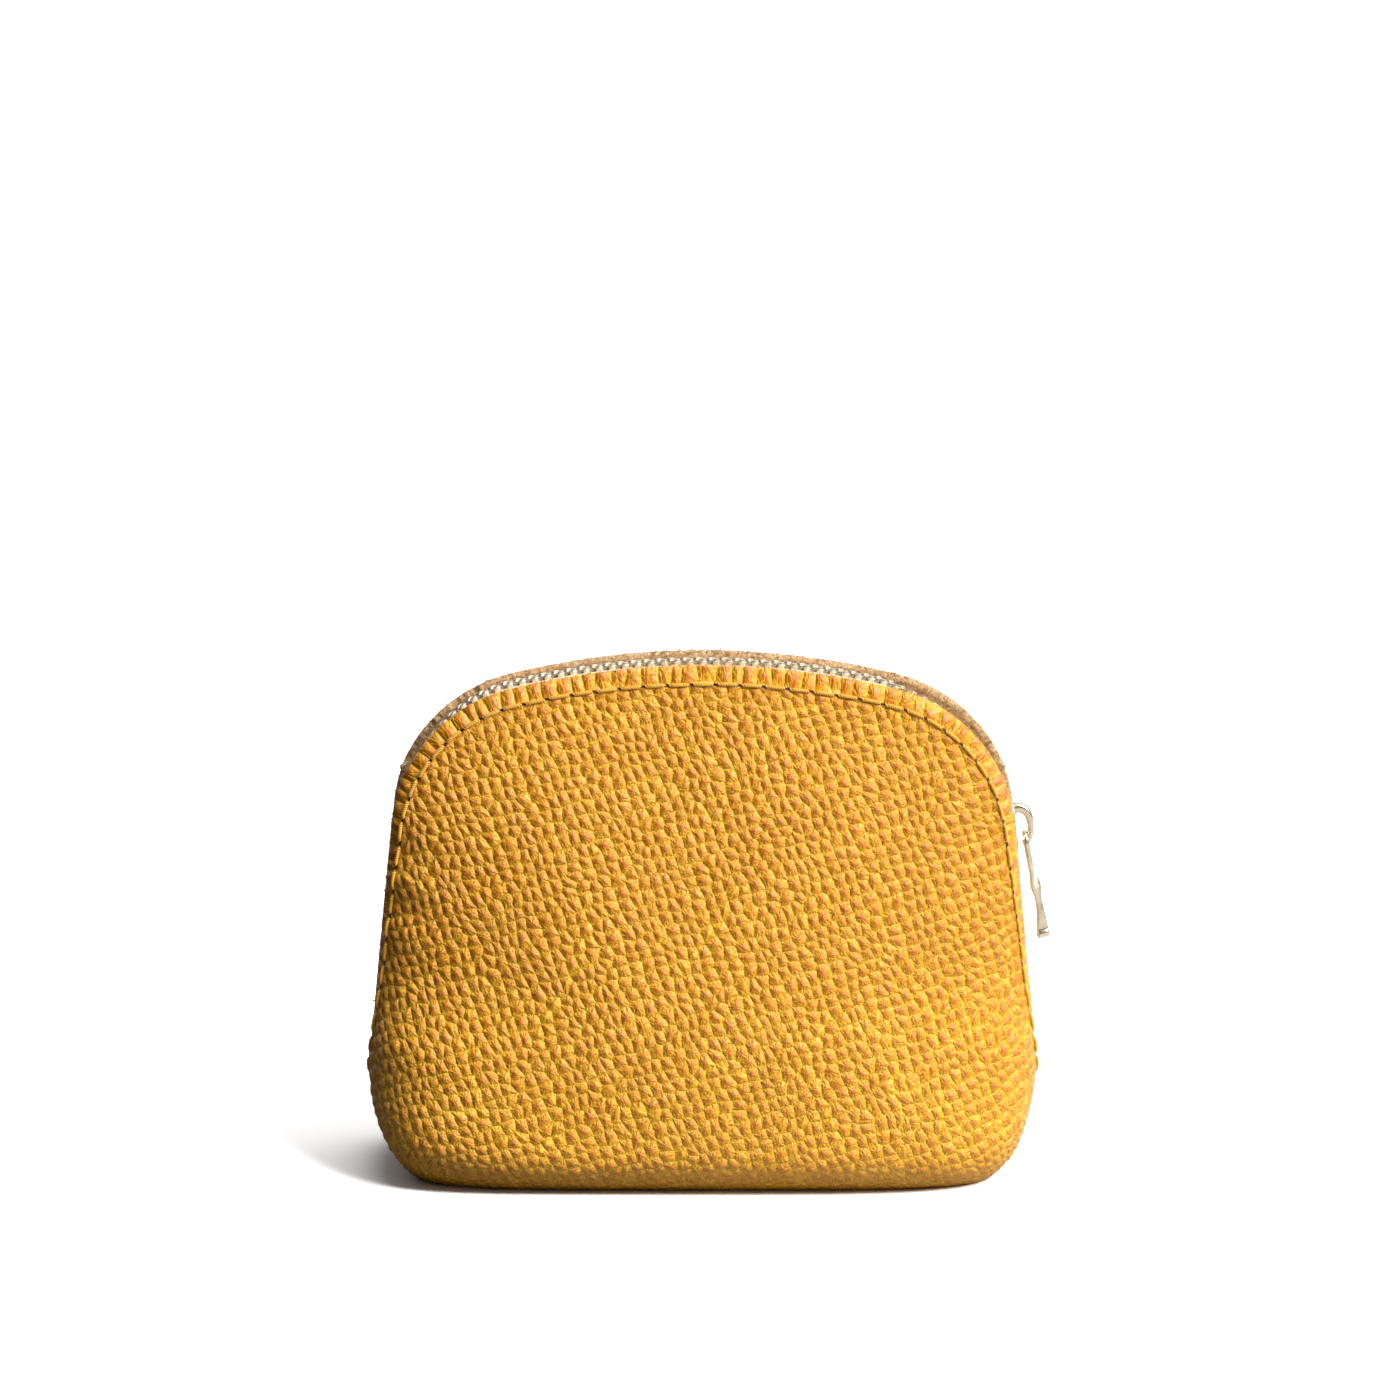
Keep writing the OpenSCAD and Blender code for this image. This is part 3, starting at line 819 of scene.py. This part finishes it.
def leather_panel(name, side, nodes_replaced):
    """One panel from the base seam to the lip: the grain side, a rounded cut edge and the flesh side."""
    coarse = 4
    cols, rows = ((305, 265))
    x, z = even_grid(rows, cols)
    face = np.stack([x, face_y(x, z), np.maximum(z, 0)], -1)
    normals = surface_normals(face)
    s, reach = edge_place(x, z)
    field = np.stack([*field_of(x, z), np.zeros_like(x)], -1)
    if side == BACK:
        field[..., 0] += 700
    edge = np.stack([s, reach, np.zeros_like(s)], -1)
    pebbles = relief_at(field.reshape(-1, 3), edge.reshape(-1, 3), RELIEF).reshape(x.shape)

    standing = smooth(z / 2.0)
    on_side = smooth(1 - (face[..., 1] - 12) / 4)
    stitched = np.abs(s) < side_s(LIP_START)
    groove = GROOVE_DEPTH * np.exp(-(((reach - STITCH_INSET) / 0.55) ** 2)) * stitched
    seam = 0.55 * np.exp(-(((z - CORNER_SEAM_Z) / 0.8) ** 2)) * on_side * smooth((np.abs(x) - 40) / 8)
    calm = 1 - 0.75 * groove / GROOVE_DEPTH
    calm = calm * mix(0.3, 1, smooth(reach / 3))
    sink = PEBBLE_DEPTH * (1 - pebbles) * calm * mix(0.35, 1, standing) + groove + seam
    wave = waves(x, z, side)
    if side == BACK:
        angle = outline(s)[2]
        upward = np.stack([np.sin(angle), 0 * angle, np.cos(angle)], -1)
        face = face + upward * (BACK_RISE * smooth(1 - reach / 5) * smooth((z - 70) / 20))[..., None]
    outer = face + normals * (wave - sink)[..., None]
    outer[..., 2] = np.maximum(outer[..., 2], 0.02 * (1 - standing))
    outer[..., 1] = np.maximum(outer[..., 1], SEAM_GAP / 2)
    inner = face + normals * (wave - LEATHER_T)[..., None]
    inner[..., 1] = np.maximum(inner[..., 1], SEAM_GAP / 2)
    inner[..., 2] = np.where(z < BELLY_Z, np.maximum(inner[..., 2], LEATHER_T), inner[..., 2])
    inner = inner[::coarse, ::coarse]

    rim = border(rows, cols)
    small_rows, small_cols = inner.shape[:2]
    small_rim = border(small_rows, small_cols)
    outer_rim = outer.reshape(-1, 3)[rim]
    inner_rim = inner.reshape(-1, 3)[small_rim]
    rim_at = np.arange(len(rim)) / coarse
    closed = np.append(inner_rim, inner_rim[:1], 0)
    across = np.stack([np.interp(rim_at, np.arange(len(closed)), c) for c in closed.T], -1)
    thick = across - outer_rim
    outward = unit(np.cross(np.roll(outer_rim, -1, 0) - np.roll(outer_rim, 1, 0), thick))
    rng = np.random.default_rng(41 + side)
    rough = 0.2 * rng.standard_normal(len(rim))
    bulge = [(0.06, 0.10), (0.2, 0.26), (0.45, 0.34), (0.72, 0.30), (0.92, 0.12)]
    free = smooth((z.ravel()[rim] - 18) / 6)
    strips = [
        outer_rim + thick * f + outward * ((h + (rough if f > 0.1 else 0)) * free)[:, None]
        for f, h in bulge
    ]

    flip = np.array([1, side, 1])
    mesh = Mesh()
    order = slice(None) if side == BACK else slice(None, None, -1)
    mesh.add(outer * flip, [lattice(rows, cols)[:, ::-1][:, order]], 0)
    start = mesh.count
    mesh.add(np.array(strips) * flip, [], 0)
    mesh.add(inner * flip, [lattice(small_rows, small_cols)[:, order]], 1)
    small_start = mesh.count - inner.size // 3

    def band(a, b, slot):
        quads = np.stack([a, np.roll(a, -1), np.roll(b, -1), b], -1)[:, order]
        mesh.faces.append(quads)
        mesh.slots.append(np.full(len(quads), slot))

    loops = [rim] + [start + k * len(rim) + np.arange(len(rim)) for k in range(len(bulge))]
    for k in range(len(bulge)):
        band(loops[k], loops[k + 1], 0 if k == 0 else 1)
    last = loops[-1]
    groups = np.stack([np.roll(last, -k)[::coarse] for k in range(coarse + 1)], -1)
    small = small_start + small_rim
    closing = np.concatenate([groups, np.roll(small, -1)[:, None], small[:, None]], -1)[:, order]
    mesh.faces.append(closing)
    mesh.slots.append(np.ones(len(closing), int))

    def spread(values):
        flat = values.reshape(-1, 3)
        return np.concatenate([flat, *[flat[rim]] * len(bulge), values[::coarse, ::coarse].reshape(-1, 3)])

    piece = mesh.piece(name, [LEATHER, SUEDE], {"field": spread(field), "edge": spread(edge)})
    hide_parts(*nodes_replaced)
    across_fold(piece, side)


def across_fold(piece, side):
    """Bakes the piece's placement into its mesh."""
    "front_mouth" if side == FRONT else "back_mouth"
    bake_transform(piece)


def stand_in(mesh, name, material, slot, body, *nodes_replaced, attributes=()):
    """Makes a piece in place of CAD nodes. It rides a body, or for a side of the mouth has its placement
    baked into its mesh.
    """
    piece = mesh.piece(name, [material], attributes)
    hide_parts(*nodes_replaced)
    if body in SIDES:
        across_fold(piece, body)
    else:
        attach(piece, body)


SIDES = {FRONT: "front", BACK: "back"}

for side, word in SIDES.items():
    leather_panel(f"{word}_leather", side, [f"{word}_panel", f"{word}_mouth_panel"])


# ---------------- thread
THREAD_R = 0.44
STRAND_TURNS = 4.5
STITCH_STEPS = 22
STITCH_HALF = 0.43 * STITCH_PITCH


def twisted(mesh, path, up, turns=STRAND_TURNS):
    """Two strands laid round each other along a path, for one stitch."""
    tangent = unit(np.gradient(path, axis=0))
    aside = unit(np.cross(tangent, up))
    up = np.cross(aside, tangent)
    turn = np.linspace(0, 2 * math.pi * turns, len(path))[:, None]
    for start in (0, math.pi):
        offset = 0.55 * THREAD_R * (np.cos(turn + start) * up + np.sin(turn + start) * aside)
        tube(mesh, path + offset, THREAD_R / 2, 6)


def stitch_profile(steps):
    """Place along a stitch from -1 to 1, and its lift off the leather: flat on top, down into the holes."""
    f = np.linspace(-1, 1, steps)
    return f, 0.26 - 1.0 * np.abs(f) ** 6


def topstitch(side, word):
    mesh = Mesh()
    reach = math.floor(side_s(LIP_START) / STITCH_PITCH)
    f, lift = stitch_profile(26)
    rng = np.random.default_rng(7 + side)
    flip = np.array([1, side, 1])
    for k in range(-reach, reach + 1):
        s = k * STITCH_PITCH + f * STITCH_HALF
        inset_at = STITCH_INSET + rng.normal(0, 0.06)
        points, normal = near_edge(s, inset_at, np.zeros_like(s))
        height = lift - GROOVE_DEPTH + waves(points[:, 0], points[:, 2], side)
        points = points + normal * height[:, None]
        twisted(mesh, points * flip, normal * flip, STRAND_TURNS + rng.normal(0, 0.2))
    # The bobbin thread on the inside, which dips to each hole
    bobbin_r, gap, tape_t = 0.36, 0.7, 0.5
    s = np.arange(-reach * STITCH_PITCH, reach * STITCH_PITCH, STITCH_PITCH / 8)
    dip = 0.5 * np.abs(np.cos(s / STITCH_PITCH * math.pi)) ** 6
    points, _ = near_edge(s + STITCH_PITCH / 2, STITCH_INSET, LEATHER_T + gap + tape_t - dip)
    tube(mesh, points * flip, bobbin_r, 6)
    replaced = (f"{word}_side_topstitch", f"{word}_mouth_topstitch")
    stand_in(mesh, f"{word}_topstitch", THREAD, "thread", side, *replaced)


def seam_stitch(mesh, start, end, up):
    """One twisted stitch between two points, on a surface that faces up."""
    f, lift = stitch_profile(STITCH_STEPS)
    start, end, up = (np.asarray(v, float) for v in (start, end, up))
    points = mix(start, end, (f[:, None] + 1) / 2) + up * (lift[:, None] - 0.1)
    twisted(mesh, points, np.broadcast_to(up, points.shape))


def side_seam_stitches():
    mesh = Mesh()
    inside = LEATHER_T + 0.35
    for side in (-1, 1):
        for i in range(3):
            low = 6 + i * STITCH_PITCH
            high = low + 0.8 * STITCH_PITCH
            ends = [(side * (float(half_width(h)) - inside), 0, h) for h in (low, high)]
            seam_stitch(mesh, *ends, (-side, 0, 0.2))
    stand_in(mesh, "side_seam_thread", THREAD, "thread", "pouch", "side_seam_stitches")


def corner_seam_stitches():
    """Thread that lies in the groove of each boxed corner."""
    mesh = Mesh()
    z = CORNER_SEAM_Z
    k = float(mix(BASE_SQUARE, 2, smooth(z / ROUND_Z)))
    depth = float(half_depth(z))
    f, lift = stitch_profile(STITCH_STEPS)
    for side in (-1, 1):
        for face in SIDES:
            for i in (1, 2):
                across = i * STITCH_PITCH + f * STITCH_HALF
                x = half_width(z) * (1 - (across / depth) ** k) ** (1 / k)
                points, normal = skin(x, np.full_like(x, z), np.zeros_like(x))
                flip = np.array([side, face, 1])
                points = points + normal * (lift - 0.45)[:, None]
                twisted(mesh, points * flip, normal * flip)
    stand_in(mesh, "corner_seam_thread", THREAD, "thread", "pouch", "corner_seam_stitches")


def bottom_seam_stitches():
    mesh = Mesh()
    reach = math.floor((float(half_width(0)) - 12) / STITCH_PITCH)
    z = LEATHER_T + 0.25
    for k in range(-reach, reach + 1):
        ends = [((k + f) * STITCH_PITCH, 0, z) for f in (-0.42, 0.42)]
        seam_stitch(mesh, *ends, (0, 0, 1))
    stand_in(mesh, "bottom_seam_thread", THREAD, "thread", "pouch", "bottom_seam_stitches")


for side, word in SIDES.items():
    topstitch(side, word)
side_seam_stitches()
corner_seam_stitches()
bottom_seam_stitches()


# ---------------- zipper
TAPE_HALF_T = 0.25


def zip_tape(side, word):
    """One tape: a bead that the teeth clamp, a flat strip beside it, and a wing sewn under the leather."""
    steps = 330
    s = np.linspace(-side_s(TAPE_END_Z), side_s(TAPE_END_Z), steps)
    flat = np.clip(lip(outline(s)[1]) - LEATHER_T, 2.2, 4.6)
    turns = np.radians(np.linspace(40, 320, 9))
    bead = [(1.55 + 0.5 * math.cos(t), 0.5 * math.sin(t)) for t in turns]
    level = chain_at(s)

    def strip(offset):
        """Points from the bead outward along one face of the tape."""
        points = [over_edge(s, mix(2.05, flat, f), level - offset) for f in (0.0, 0.5, 1.0)]
        points.append(over_edge(s, flat + 0.45, np.minimum(level - 0.2, -1.4) - offset))
        depth = np.full_like(s, LEATHER_T + TAPE_HALF_T + max(0, 2 * offset))
        for reach in (3.0, 5.0, 7.5, 9.8):
            points.append(near_edge(s, np.full_like(s, reach), depth)[0])
        return points

    top, bottom = strip(-TAPE_HALF_T), strip(TAPE_HALF_T)
    ring = [over_edge(s, y, level + n) for y, n in bead]
    sections = np.stack(top[::-1] + ring + bottom, 1) * np.array([1, side, 1])
    outward = np.arange(len(top)) * HERRINGBONE
    across = np.concatenate([outward[::-1], np.zeros(len(ring)), outward])
    if side == BACK:
        sections = sections[:, ::-1]
        across = across[::-1]
    mesh = Mesh()
    loft(mesh, sections)
    place = np.zeros((*sections.shape[:2], 3))
    place[..., 0] = s[:, None]
    place[..., 1] = across[None, :]
    replaced = (f"{word}_side_tape", f"{word}_mouth_tape")
    stand_in(mesh, f"{word}_zip_tape", TAPE, "tape", side, *replaced, attributes={"field": place})


def tooth_sections():
    """Cross-sections of one tooth, as points (y, along, above): round head, narrow stem and wide legs."""
    half = [(-0.62, 0.22), (-0.45, 0.46), (-0.1, 0.58), (0.25, 0.5), (0.55, 0.34), (0.9, 0.34)]
    half += [(1.2, 0.5), (1.45, 0.66), (2.05, 0.7), (CHAIN_HALF, 0.55)]
    points = np.array(half + [(y, -w) for y, w in half[::-1]])
    points = rounded(points, 0.16, 2)
    return np.array(rounded_block(points, -0.9, 0.9, 0.24, 2))


def zip_teeth(side, word):
    """A row of teeth, without the few that stand where the slider's post is."""
    mesh = Mesh()
    shift = 0 if side == FRONT else 0.5
    reach = math.ceil(side_s(CHAIN_END_Z) / TOOTH_PITCH)
    y, a, n = np.moveaxis(tooth_sections(), -1, 0)[..., None]
    post_s = side_s(SLIDER_Z - SLIDER_LEN / 2 + 3)
    post_room = POST_L / 2 + 1.1
    for k in range(-reach, reach + 1):
        s = (k + shift) * TOOTH_PITCH
        x, z, angle = outline(s)
        if z <= CHAIN_END_Z or (s > 0 and abs(s - post_s) < post_room):
            continue
        along = np.array([math.cos(angle), 0, -math.sin(angle)])
        out = np.array([math.sin(angle), 0, math.cos(angle)])
        points = np.array([x, 0, z]) + a * along + (chain_at(s) + n) * out + y * np.array([0, side, 0])
        loft(mesh, points[:, ::-1] if side == FRONT else points)
    replaced = (f"{word}_side_teeth", f"{word}_mouth_teeth")
    stand_in(mesh, f"{word}_zip_teeth", TOOTH_METAL, "metal", side, *replaced)


for side, word in SIDES.items():
    zip_tape(side, word)
    zip_teeth(side, word)


# ---------------- slider, bridge, puller and stops
class SideFrame:
    """Places a shape on the right or left side at height z: a is outward, b across and c up the side."""

    def __init__(self, z, right=True):
        x, self.z, angle = outline(side_s(z))
        self.x, self.sign = float(x), 1 if right else -1
        self.out = np.array([math.sin(angle), 0, math.cos(angle)])
        self.up = np.array([-math.cos(angle), 0, math.sin(angle)])

    def place(self, points):
        points = np.asarray(points, float)
        a, b, c = points[..., 0:1], points[..., 1:2], points[..., 2:3]
        placed = np.array([self.x, 0, float(self.z)]) + a * self.out + b * np.array([0, 1, 0]) + c * self.up
        placed[..., 0] *= self.sign
        return placed


def plate_outline():
    """Outline (b, c) of a slider plate: wide where the teeth part, and narrow above."""
    low, high = -SLIDER_LEN / 2, SLIDER_LEN / 2
    half = [
        (2.0, low),
        (SLIDER_HALF, low + 1.6),
        (SLIDER_HALF, 0.4),
        (SLIDER_NARROW, high - 1.2),
        (2.3, high),
    ]
    return rounded(half + [(-b, c) for b, c in half[::-1]], 1.1)


def stacked(frame_at, outline_bc, low, high, edge, mesh):
    """Rounded block whose outline lies across the side, from a = low to a = high."""
    sections = rounded_block(outline_bc, low, high, edge)
    loft(mesh, [frame_at.place(section[:, [2, 0, 1]]) for section in sections])


def box(b0, c0, b1, c1, radius):
    """Rounded outline of a rectangle between two corners (b, c)."""
    return rounded([(b0, c0), (b1, c0), (b1, c1), (b0, c1)], radius)


def slider_body():
    at = SideFrame(SLIDER_Z)
    mesh = Mesh()
    inner = CHAIN_N - PLATE_GAP / 2
    outer = CHAIN_N + PLATE_GAP / 2
    stacked(at, plate_outline(), inner - PLATE_T, inner, 0.35, mesh)
    stacked(at, plate_outline(), outer, outer + PLATE_T, 0.42, mesh)
    low = -SLIDER_LEN / 2
    post = rounded([(-0.8, low + 1.5), (0.8, low + 1.5), (0.5, low + 4.5), (-0.5, low + 4.5)], 0.3)
    stacked(at, post, inner - 0.3, outer + 0.3, 0.1, mesh)
    for face in (-1, 1):
        corners = [(2.95, low + 2), (3.4, low + 2), (3.3, low + SLIDER_LEN - 2), (2.9, low + SLIDER_LEN - 2)]
        flange = rounded([(b * face, c) for b, c in corners][::face], 0.15)
        stacked(at, flange, inner - 0.2, inner + 0.75, 0.1, mesh)
        stacked(at, flange, outer - 0.75, outer + 0.2, 0.1, mesh)
    # Rivet seats on the outer plate
    for c in (-3.2, 4.2):
        seat = box(-1.5, c - 0.9, 1.5, c + 0.9, 0.7)
        stacked(at, seat, outer + PLATE_T - 0.1, outer + PLATE_T + 0.22, 0.12, mesh)
    stand_in(mesh, "slider_shell", METAL, "metal", "slider", "slider_body")


def superellipse(a, b, power=3.2, count=20):
    """Closed outline with half sizes a and b, between an ellipse and a rectangle."""
    t = np.linspace(0, 2 * math.pi, count, endpoint=False)
    c, s = np.cos(t), np.sin(t)
    return np.sign(c) * np.abs(c) ** (2 / power) * a, np.sign(s) * np.abs(s) ** (2 / power) * b


def bridge():
    """A thick flat hook: its foot stands on the plate's upper end, and its tip closes over the crossbar."""
    at = SideFrame(SLIDER_Z)
    foot = CHAIN_N + PLATE_GAP / 2 + PLATE_T
    steps = 40
    f = np.linspace(0, 1, steps)
    turn = np.radians(mix(97, -80, f))
    centre_a = foot + 0.05 + 3.05 * np.maximum(0, np.cos(turn)) ** 0.62
    centre_c = 0.2 + 3.9 * np.sin(turn)
    path = np.column_stack([centre_a, np.zeros(steps), centre_c])
    thick = mix(1.05, 0.7, smooth(f / 0.75)) * mix(1, 0.8, smooth((f - 0.8) / 0.2))
    wide = mix(1.35, 1.05, smooth(f))
    across = np.cross(unit(np.gradient(path, axis=0)), (0, 1, 0))
    sections = []
    for p, n, t, w in zip(path, across, thick, wide):
        b, h = superellipse(w, t)
        sections.append(at.place(p + h[:, None] * n + b[:, None] * np.array([0, 1.0, 0])))
    mesh = Mesh()
    loft(mesh, sections)
    stand_in(mesh, "slider_hook", METAL, "metal", "slider", "slider_bridge")


def puller():
    """The eye round the crossbar, then a flat bar that narrows, twists and flares to a thick end."""
    at = SideFrame(SLIDER_Z)
    cos, sin = math.cos(PULLER_TILT), math.sin(PULLER_TILT)

    def hang(points):
        """From (thickness, across, down the puller) to the side's own directions."""
        points = np.asarray(points, float)
        thick, across, down = np.moveaxis(points, -1, 0)
        a = PIVOT[0] + thick * cos + down * sin
        c = PIVOT[1] + thick * sin - down * cos
        return at.place(np.stack([a, across, c], -1))

    mesh = Mesh()
    loop = rounded([(-2.4, 0.0), (2.4, 0.0), (2.4, 7.3), (-2.4, 7.3)], 1.7, 8)
    ahead = unit(np.roll(loop, -1, 0) - np.roll(loop, 1, 0))
    sections = []
    for (b, d), (tb, td) in zip(loop, ahead):
        top = smooth(1 - d / 1.6)
        side_w, side_t = superellipse(mix(0.52, 0.58, top), mix(0.66, 0.58, top), 2.6, 14)
        sections.append(hang(np.column_stack([side_t, b + side_w * td, d - side_w * tb])))
    loft(mesh, sections, ring=True)

    # The bar's half width at distances down from the crossbar, smoothed by a running mean
    start, length, steps, smoothing = 6.6, 22.5, 64, 7
    widths = {start: 2.3, 8.0: 2.2, 10.5: 1.75, 12.5: 1.05, 14.2: 0.66, 17.0: 0.85, 20.0: 1.2, length: 1.42}
    down = np.linspace(start, length, steps)
    wide = np.pad(np.interp(down, list(widths), list(widths.values())), smoothing // 2, mode="edge")
    wide = np.convolve(wide, np.ones(smoothing) / smoothing, mode="valid")
    thick = 0.62 + 0.28 * smooth((down - 20.6) / 1.0) - 0.16 * np.exp(-(((down - 14.2) / 2.6) ** 2))
    twist = np.radians(74) * smooth((down - 6.8) / 9.0)
    bow = 0.35 * np.sin((down - start) / (length - start) * math.pi)
    sections = []
    for d, w, t, phi, shift in zip(down, wide, thick, twist, bow):
        end = smooth((d - (length - 0.5)) / 0.5)
        b, h = superellipse(w * (1 - 0.12 * end), t * (1 - 0.25 * end), 4.0, 24)
        turned_b = b * math.cos(phi) - h * math.sin(phi)
        turned_a = b * math.sin(phi) + h * math.cos(phi)
        sections.append(hang(np.column_stack([turned_a + shift, turned_b, np.full(len(b), d)])))
    loft(mesh, sections)
    stand_in(mesh, "zip_puller", METAL, "metal", "puller", "puller")


def stops():
    """Top stops on the right tapes, and the bottom stop across both tapes on the left."""
    base = CHAIN_N + 0.3
    mesh = Mesh()
    for low, high in ((-2.5, -1.3), (1.3, 2.5)):
        stacked(SideFrame(STOP_Z), box(low, 0.0, high, 2.6, 0.3), base, base + 1.1, 0.25, mesh)
    stand_in(mesh, "top_stop_clips", METAL, "metal", "pouch", "top_stops")
    mesh = Mesh()
    clip = box(-2.3, 0.0, 2.3, 2.2, 0.4)[::-1]
    stacked(SideFrame(STOP_Z, right=False), clip, base, base + 1.1, 0.25, mesh)
    stand_in(mesh, "bottom_stop_clip", METAL, "metal", "pouch", "bottom_stop")


slider_body()
bridge()
puller()
stops()


# ---------------- loose fibres on the cut edges
def edge_fibres(side, word):
    """Short suede fibres that stand out of the cut edge along the lip."""
    rng = np.random.default_rng(1000 + side)
    count = 2400
    reach_s = side_s(34)
    s = rng.uniform(-reach_s, reach_s, count)
    depth = rng.uniform(0.15, 0.95, count) * LEATHER_T
    roots, normal = near_edge(s, np.full(count, 0.05), depth)
    x, _, angle = outline(s)
    up = np.stack([np.sin(angle), 0 * angle, np.cos(angle)], -1)
    if side == BACK:
        roots = roots + up * (BACK_RISE * smooth((outline(s)[1] - 70) / 20))[:, None]
    mesh = Mesh()
    size = rng.gamma(2.2, 0.26, count)
    lean = rng.normal(0, 0.55, (count, 3))
    curl = rng.normal(0, 0.5, (count, 3))
    f = np.linspace(0, 1, 5)[:, None]
    flip = np.array([1, side, 1])
    for i in range(count):
        length = min(size[i], 1.5) + 0.4
        away = up[i] + lean[i] - 0.35 * normal[i]
        path = roots[i] - up[i] * 0.1 + f * length * away + f**2 * curl[i] * length * 0.6
        tube(mesh, path * flip, 0.085 * (1 - 0.75 * f[:, 0]), 3)
    piece = mesh.piece(f"{word}_edge_fibres", [SUEDE])
    across_fold(piece, side)


for side, word in SIDES.items():
    edge_fibres(side, word)


# ---------------- stage, light and camera
WHITE = (1, 1, 1)
FLOOR_HALF = 6000
FLOOR_SEEN = 1.45
WORLD_LIGHT = 0.2
BACK_LIGHT = 0.9
ELEVATION = math.radians(13.5)
DISTANCE = 1.444
AIM = Vector((0, -0.02, 0.0553))


def grey(level):
    return (level, level, level, 1)


def floor():
    """Gives back less light on the left and in front, as if dark cards lay there, but looks white."""
    material, nodes, shader = new_material("stage_white")
    place = nodes.make("ShaderNodeTexCoord", "Object")
    white = nodes.color(nodes.noise(place, 900.0, 2.0), grey(0.90), grey(0.93))
    x, y, _ = nodes.split(place)
    near = nodes.color(nodes.step(y, -0.04, 0.1), grey(0.5), white)
    bounce = nodes.color(nodes.step(x, -0.14, 0.06), grey(0.02), near)
    camera_ray = nodes.make("ShaderNodeLightPath", "Is Camera Ray")
    seen = nodes.color(1.0, white, grey(FLOOR_SEEN), "MULTIPLY")
    tint = nodes.color(camera_ray, bounce, seen)
    shade(nodes, shader, Base_Color=tint, Roughness=0.9, Specular_IOR_Level=0.1)
    mesh = Mesh()
    corners = [(x, y, 0) for x, y in ((-1, -1), (1, -1), (1, 1), (-1, 1))]
    mesh.add(np.array(corners) * FLOOR_HALF, [[[0, 1, 2, 3]]])
    mesh.piece("stage_floor", [material])


def aimed(name, data, place, back):
    """Puts a lamp or the camera at a place, turned to look along the opposite of back."""
    piece = bpy.data.objects.new(name, data)
    piece.location = place
    piece.rotation_mode = "QUATERNION"
    piece.rotation_quaternion = (-back).to_track_quat("-Z", "Y")
    bpy.context.scene.collection.objects.link(piece)
    return piece


def sun(name, direction, energy, spread, color=WHITE):
    """Light from that direction, as wide as spread in degrees."""
    data = bpy.data.lights.new(name, "SUN")
    data.energy = energy
    data.color = color
    data.angle = math.radians(spread)
    aimed(name, data, Vector(direction), Vector(direction))


def world():
    """White to the camera; dimmer as a light, and brighter from the right, above and behind than the left."""
    backdrop = bpy.data.worlds.new("studio")
    backdrop.use_nodes = True
    bpy.context.scene.world = backdrop
    nodes = Nodes(backdrop.node_tree)
    x, y, z = nodes.split(nodes.make("ShaderNodeTexCoord", "Generated"))
    soft = nodes.step(x * 0.75 + z * 0.55 - y * 0.2, -0.75, 0.9, 0.0, WORLD_LIGHT)
    soft = nodes.larger(soft, nodes.step(y, 0.35, 0.9, 0.0, BACK_LIGHT))
    camera_ray = nodes.make("ShaderNodeLightPath", "Is Camera Ray")
    strength = camera_ray + (1.0 - camera_ray) * soft
    shade(nodes, backdrop.node_tree.nodes["Background"], Strength=strength, Color=(*WHITE, 1))


def camera():
    data = bpy.data.cameras.new("camera")
    data.lens = 180
    data.sensor_width = 36
    data.shift_x = -0.0022
    data.shift_y = 0.164
    data.clip_start = 0.05
    data.clip_end = 50
    back = Vector((0, -math.cos(ELEVATION), math.sin(ELEVATION)))
    bpy.context.scene.camera = aimed("camera", data, AIM + back * DISTANCE, back)


floor()
world()
sun("key", (1.2, -0.68, 0.95), 3.2, 14, (1.0, 0.99, 0.98))
sun("front", (0.75, -0.8, 1.2), 1.8, 12)
sun("overhead", (0.25, 0.05, 1.0), 1.9, 50)
camera()
bpy.context.scene.view_settings.view_transform = "Standard"
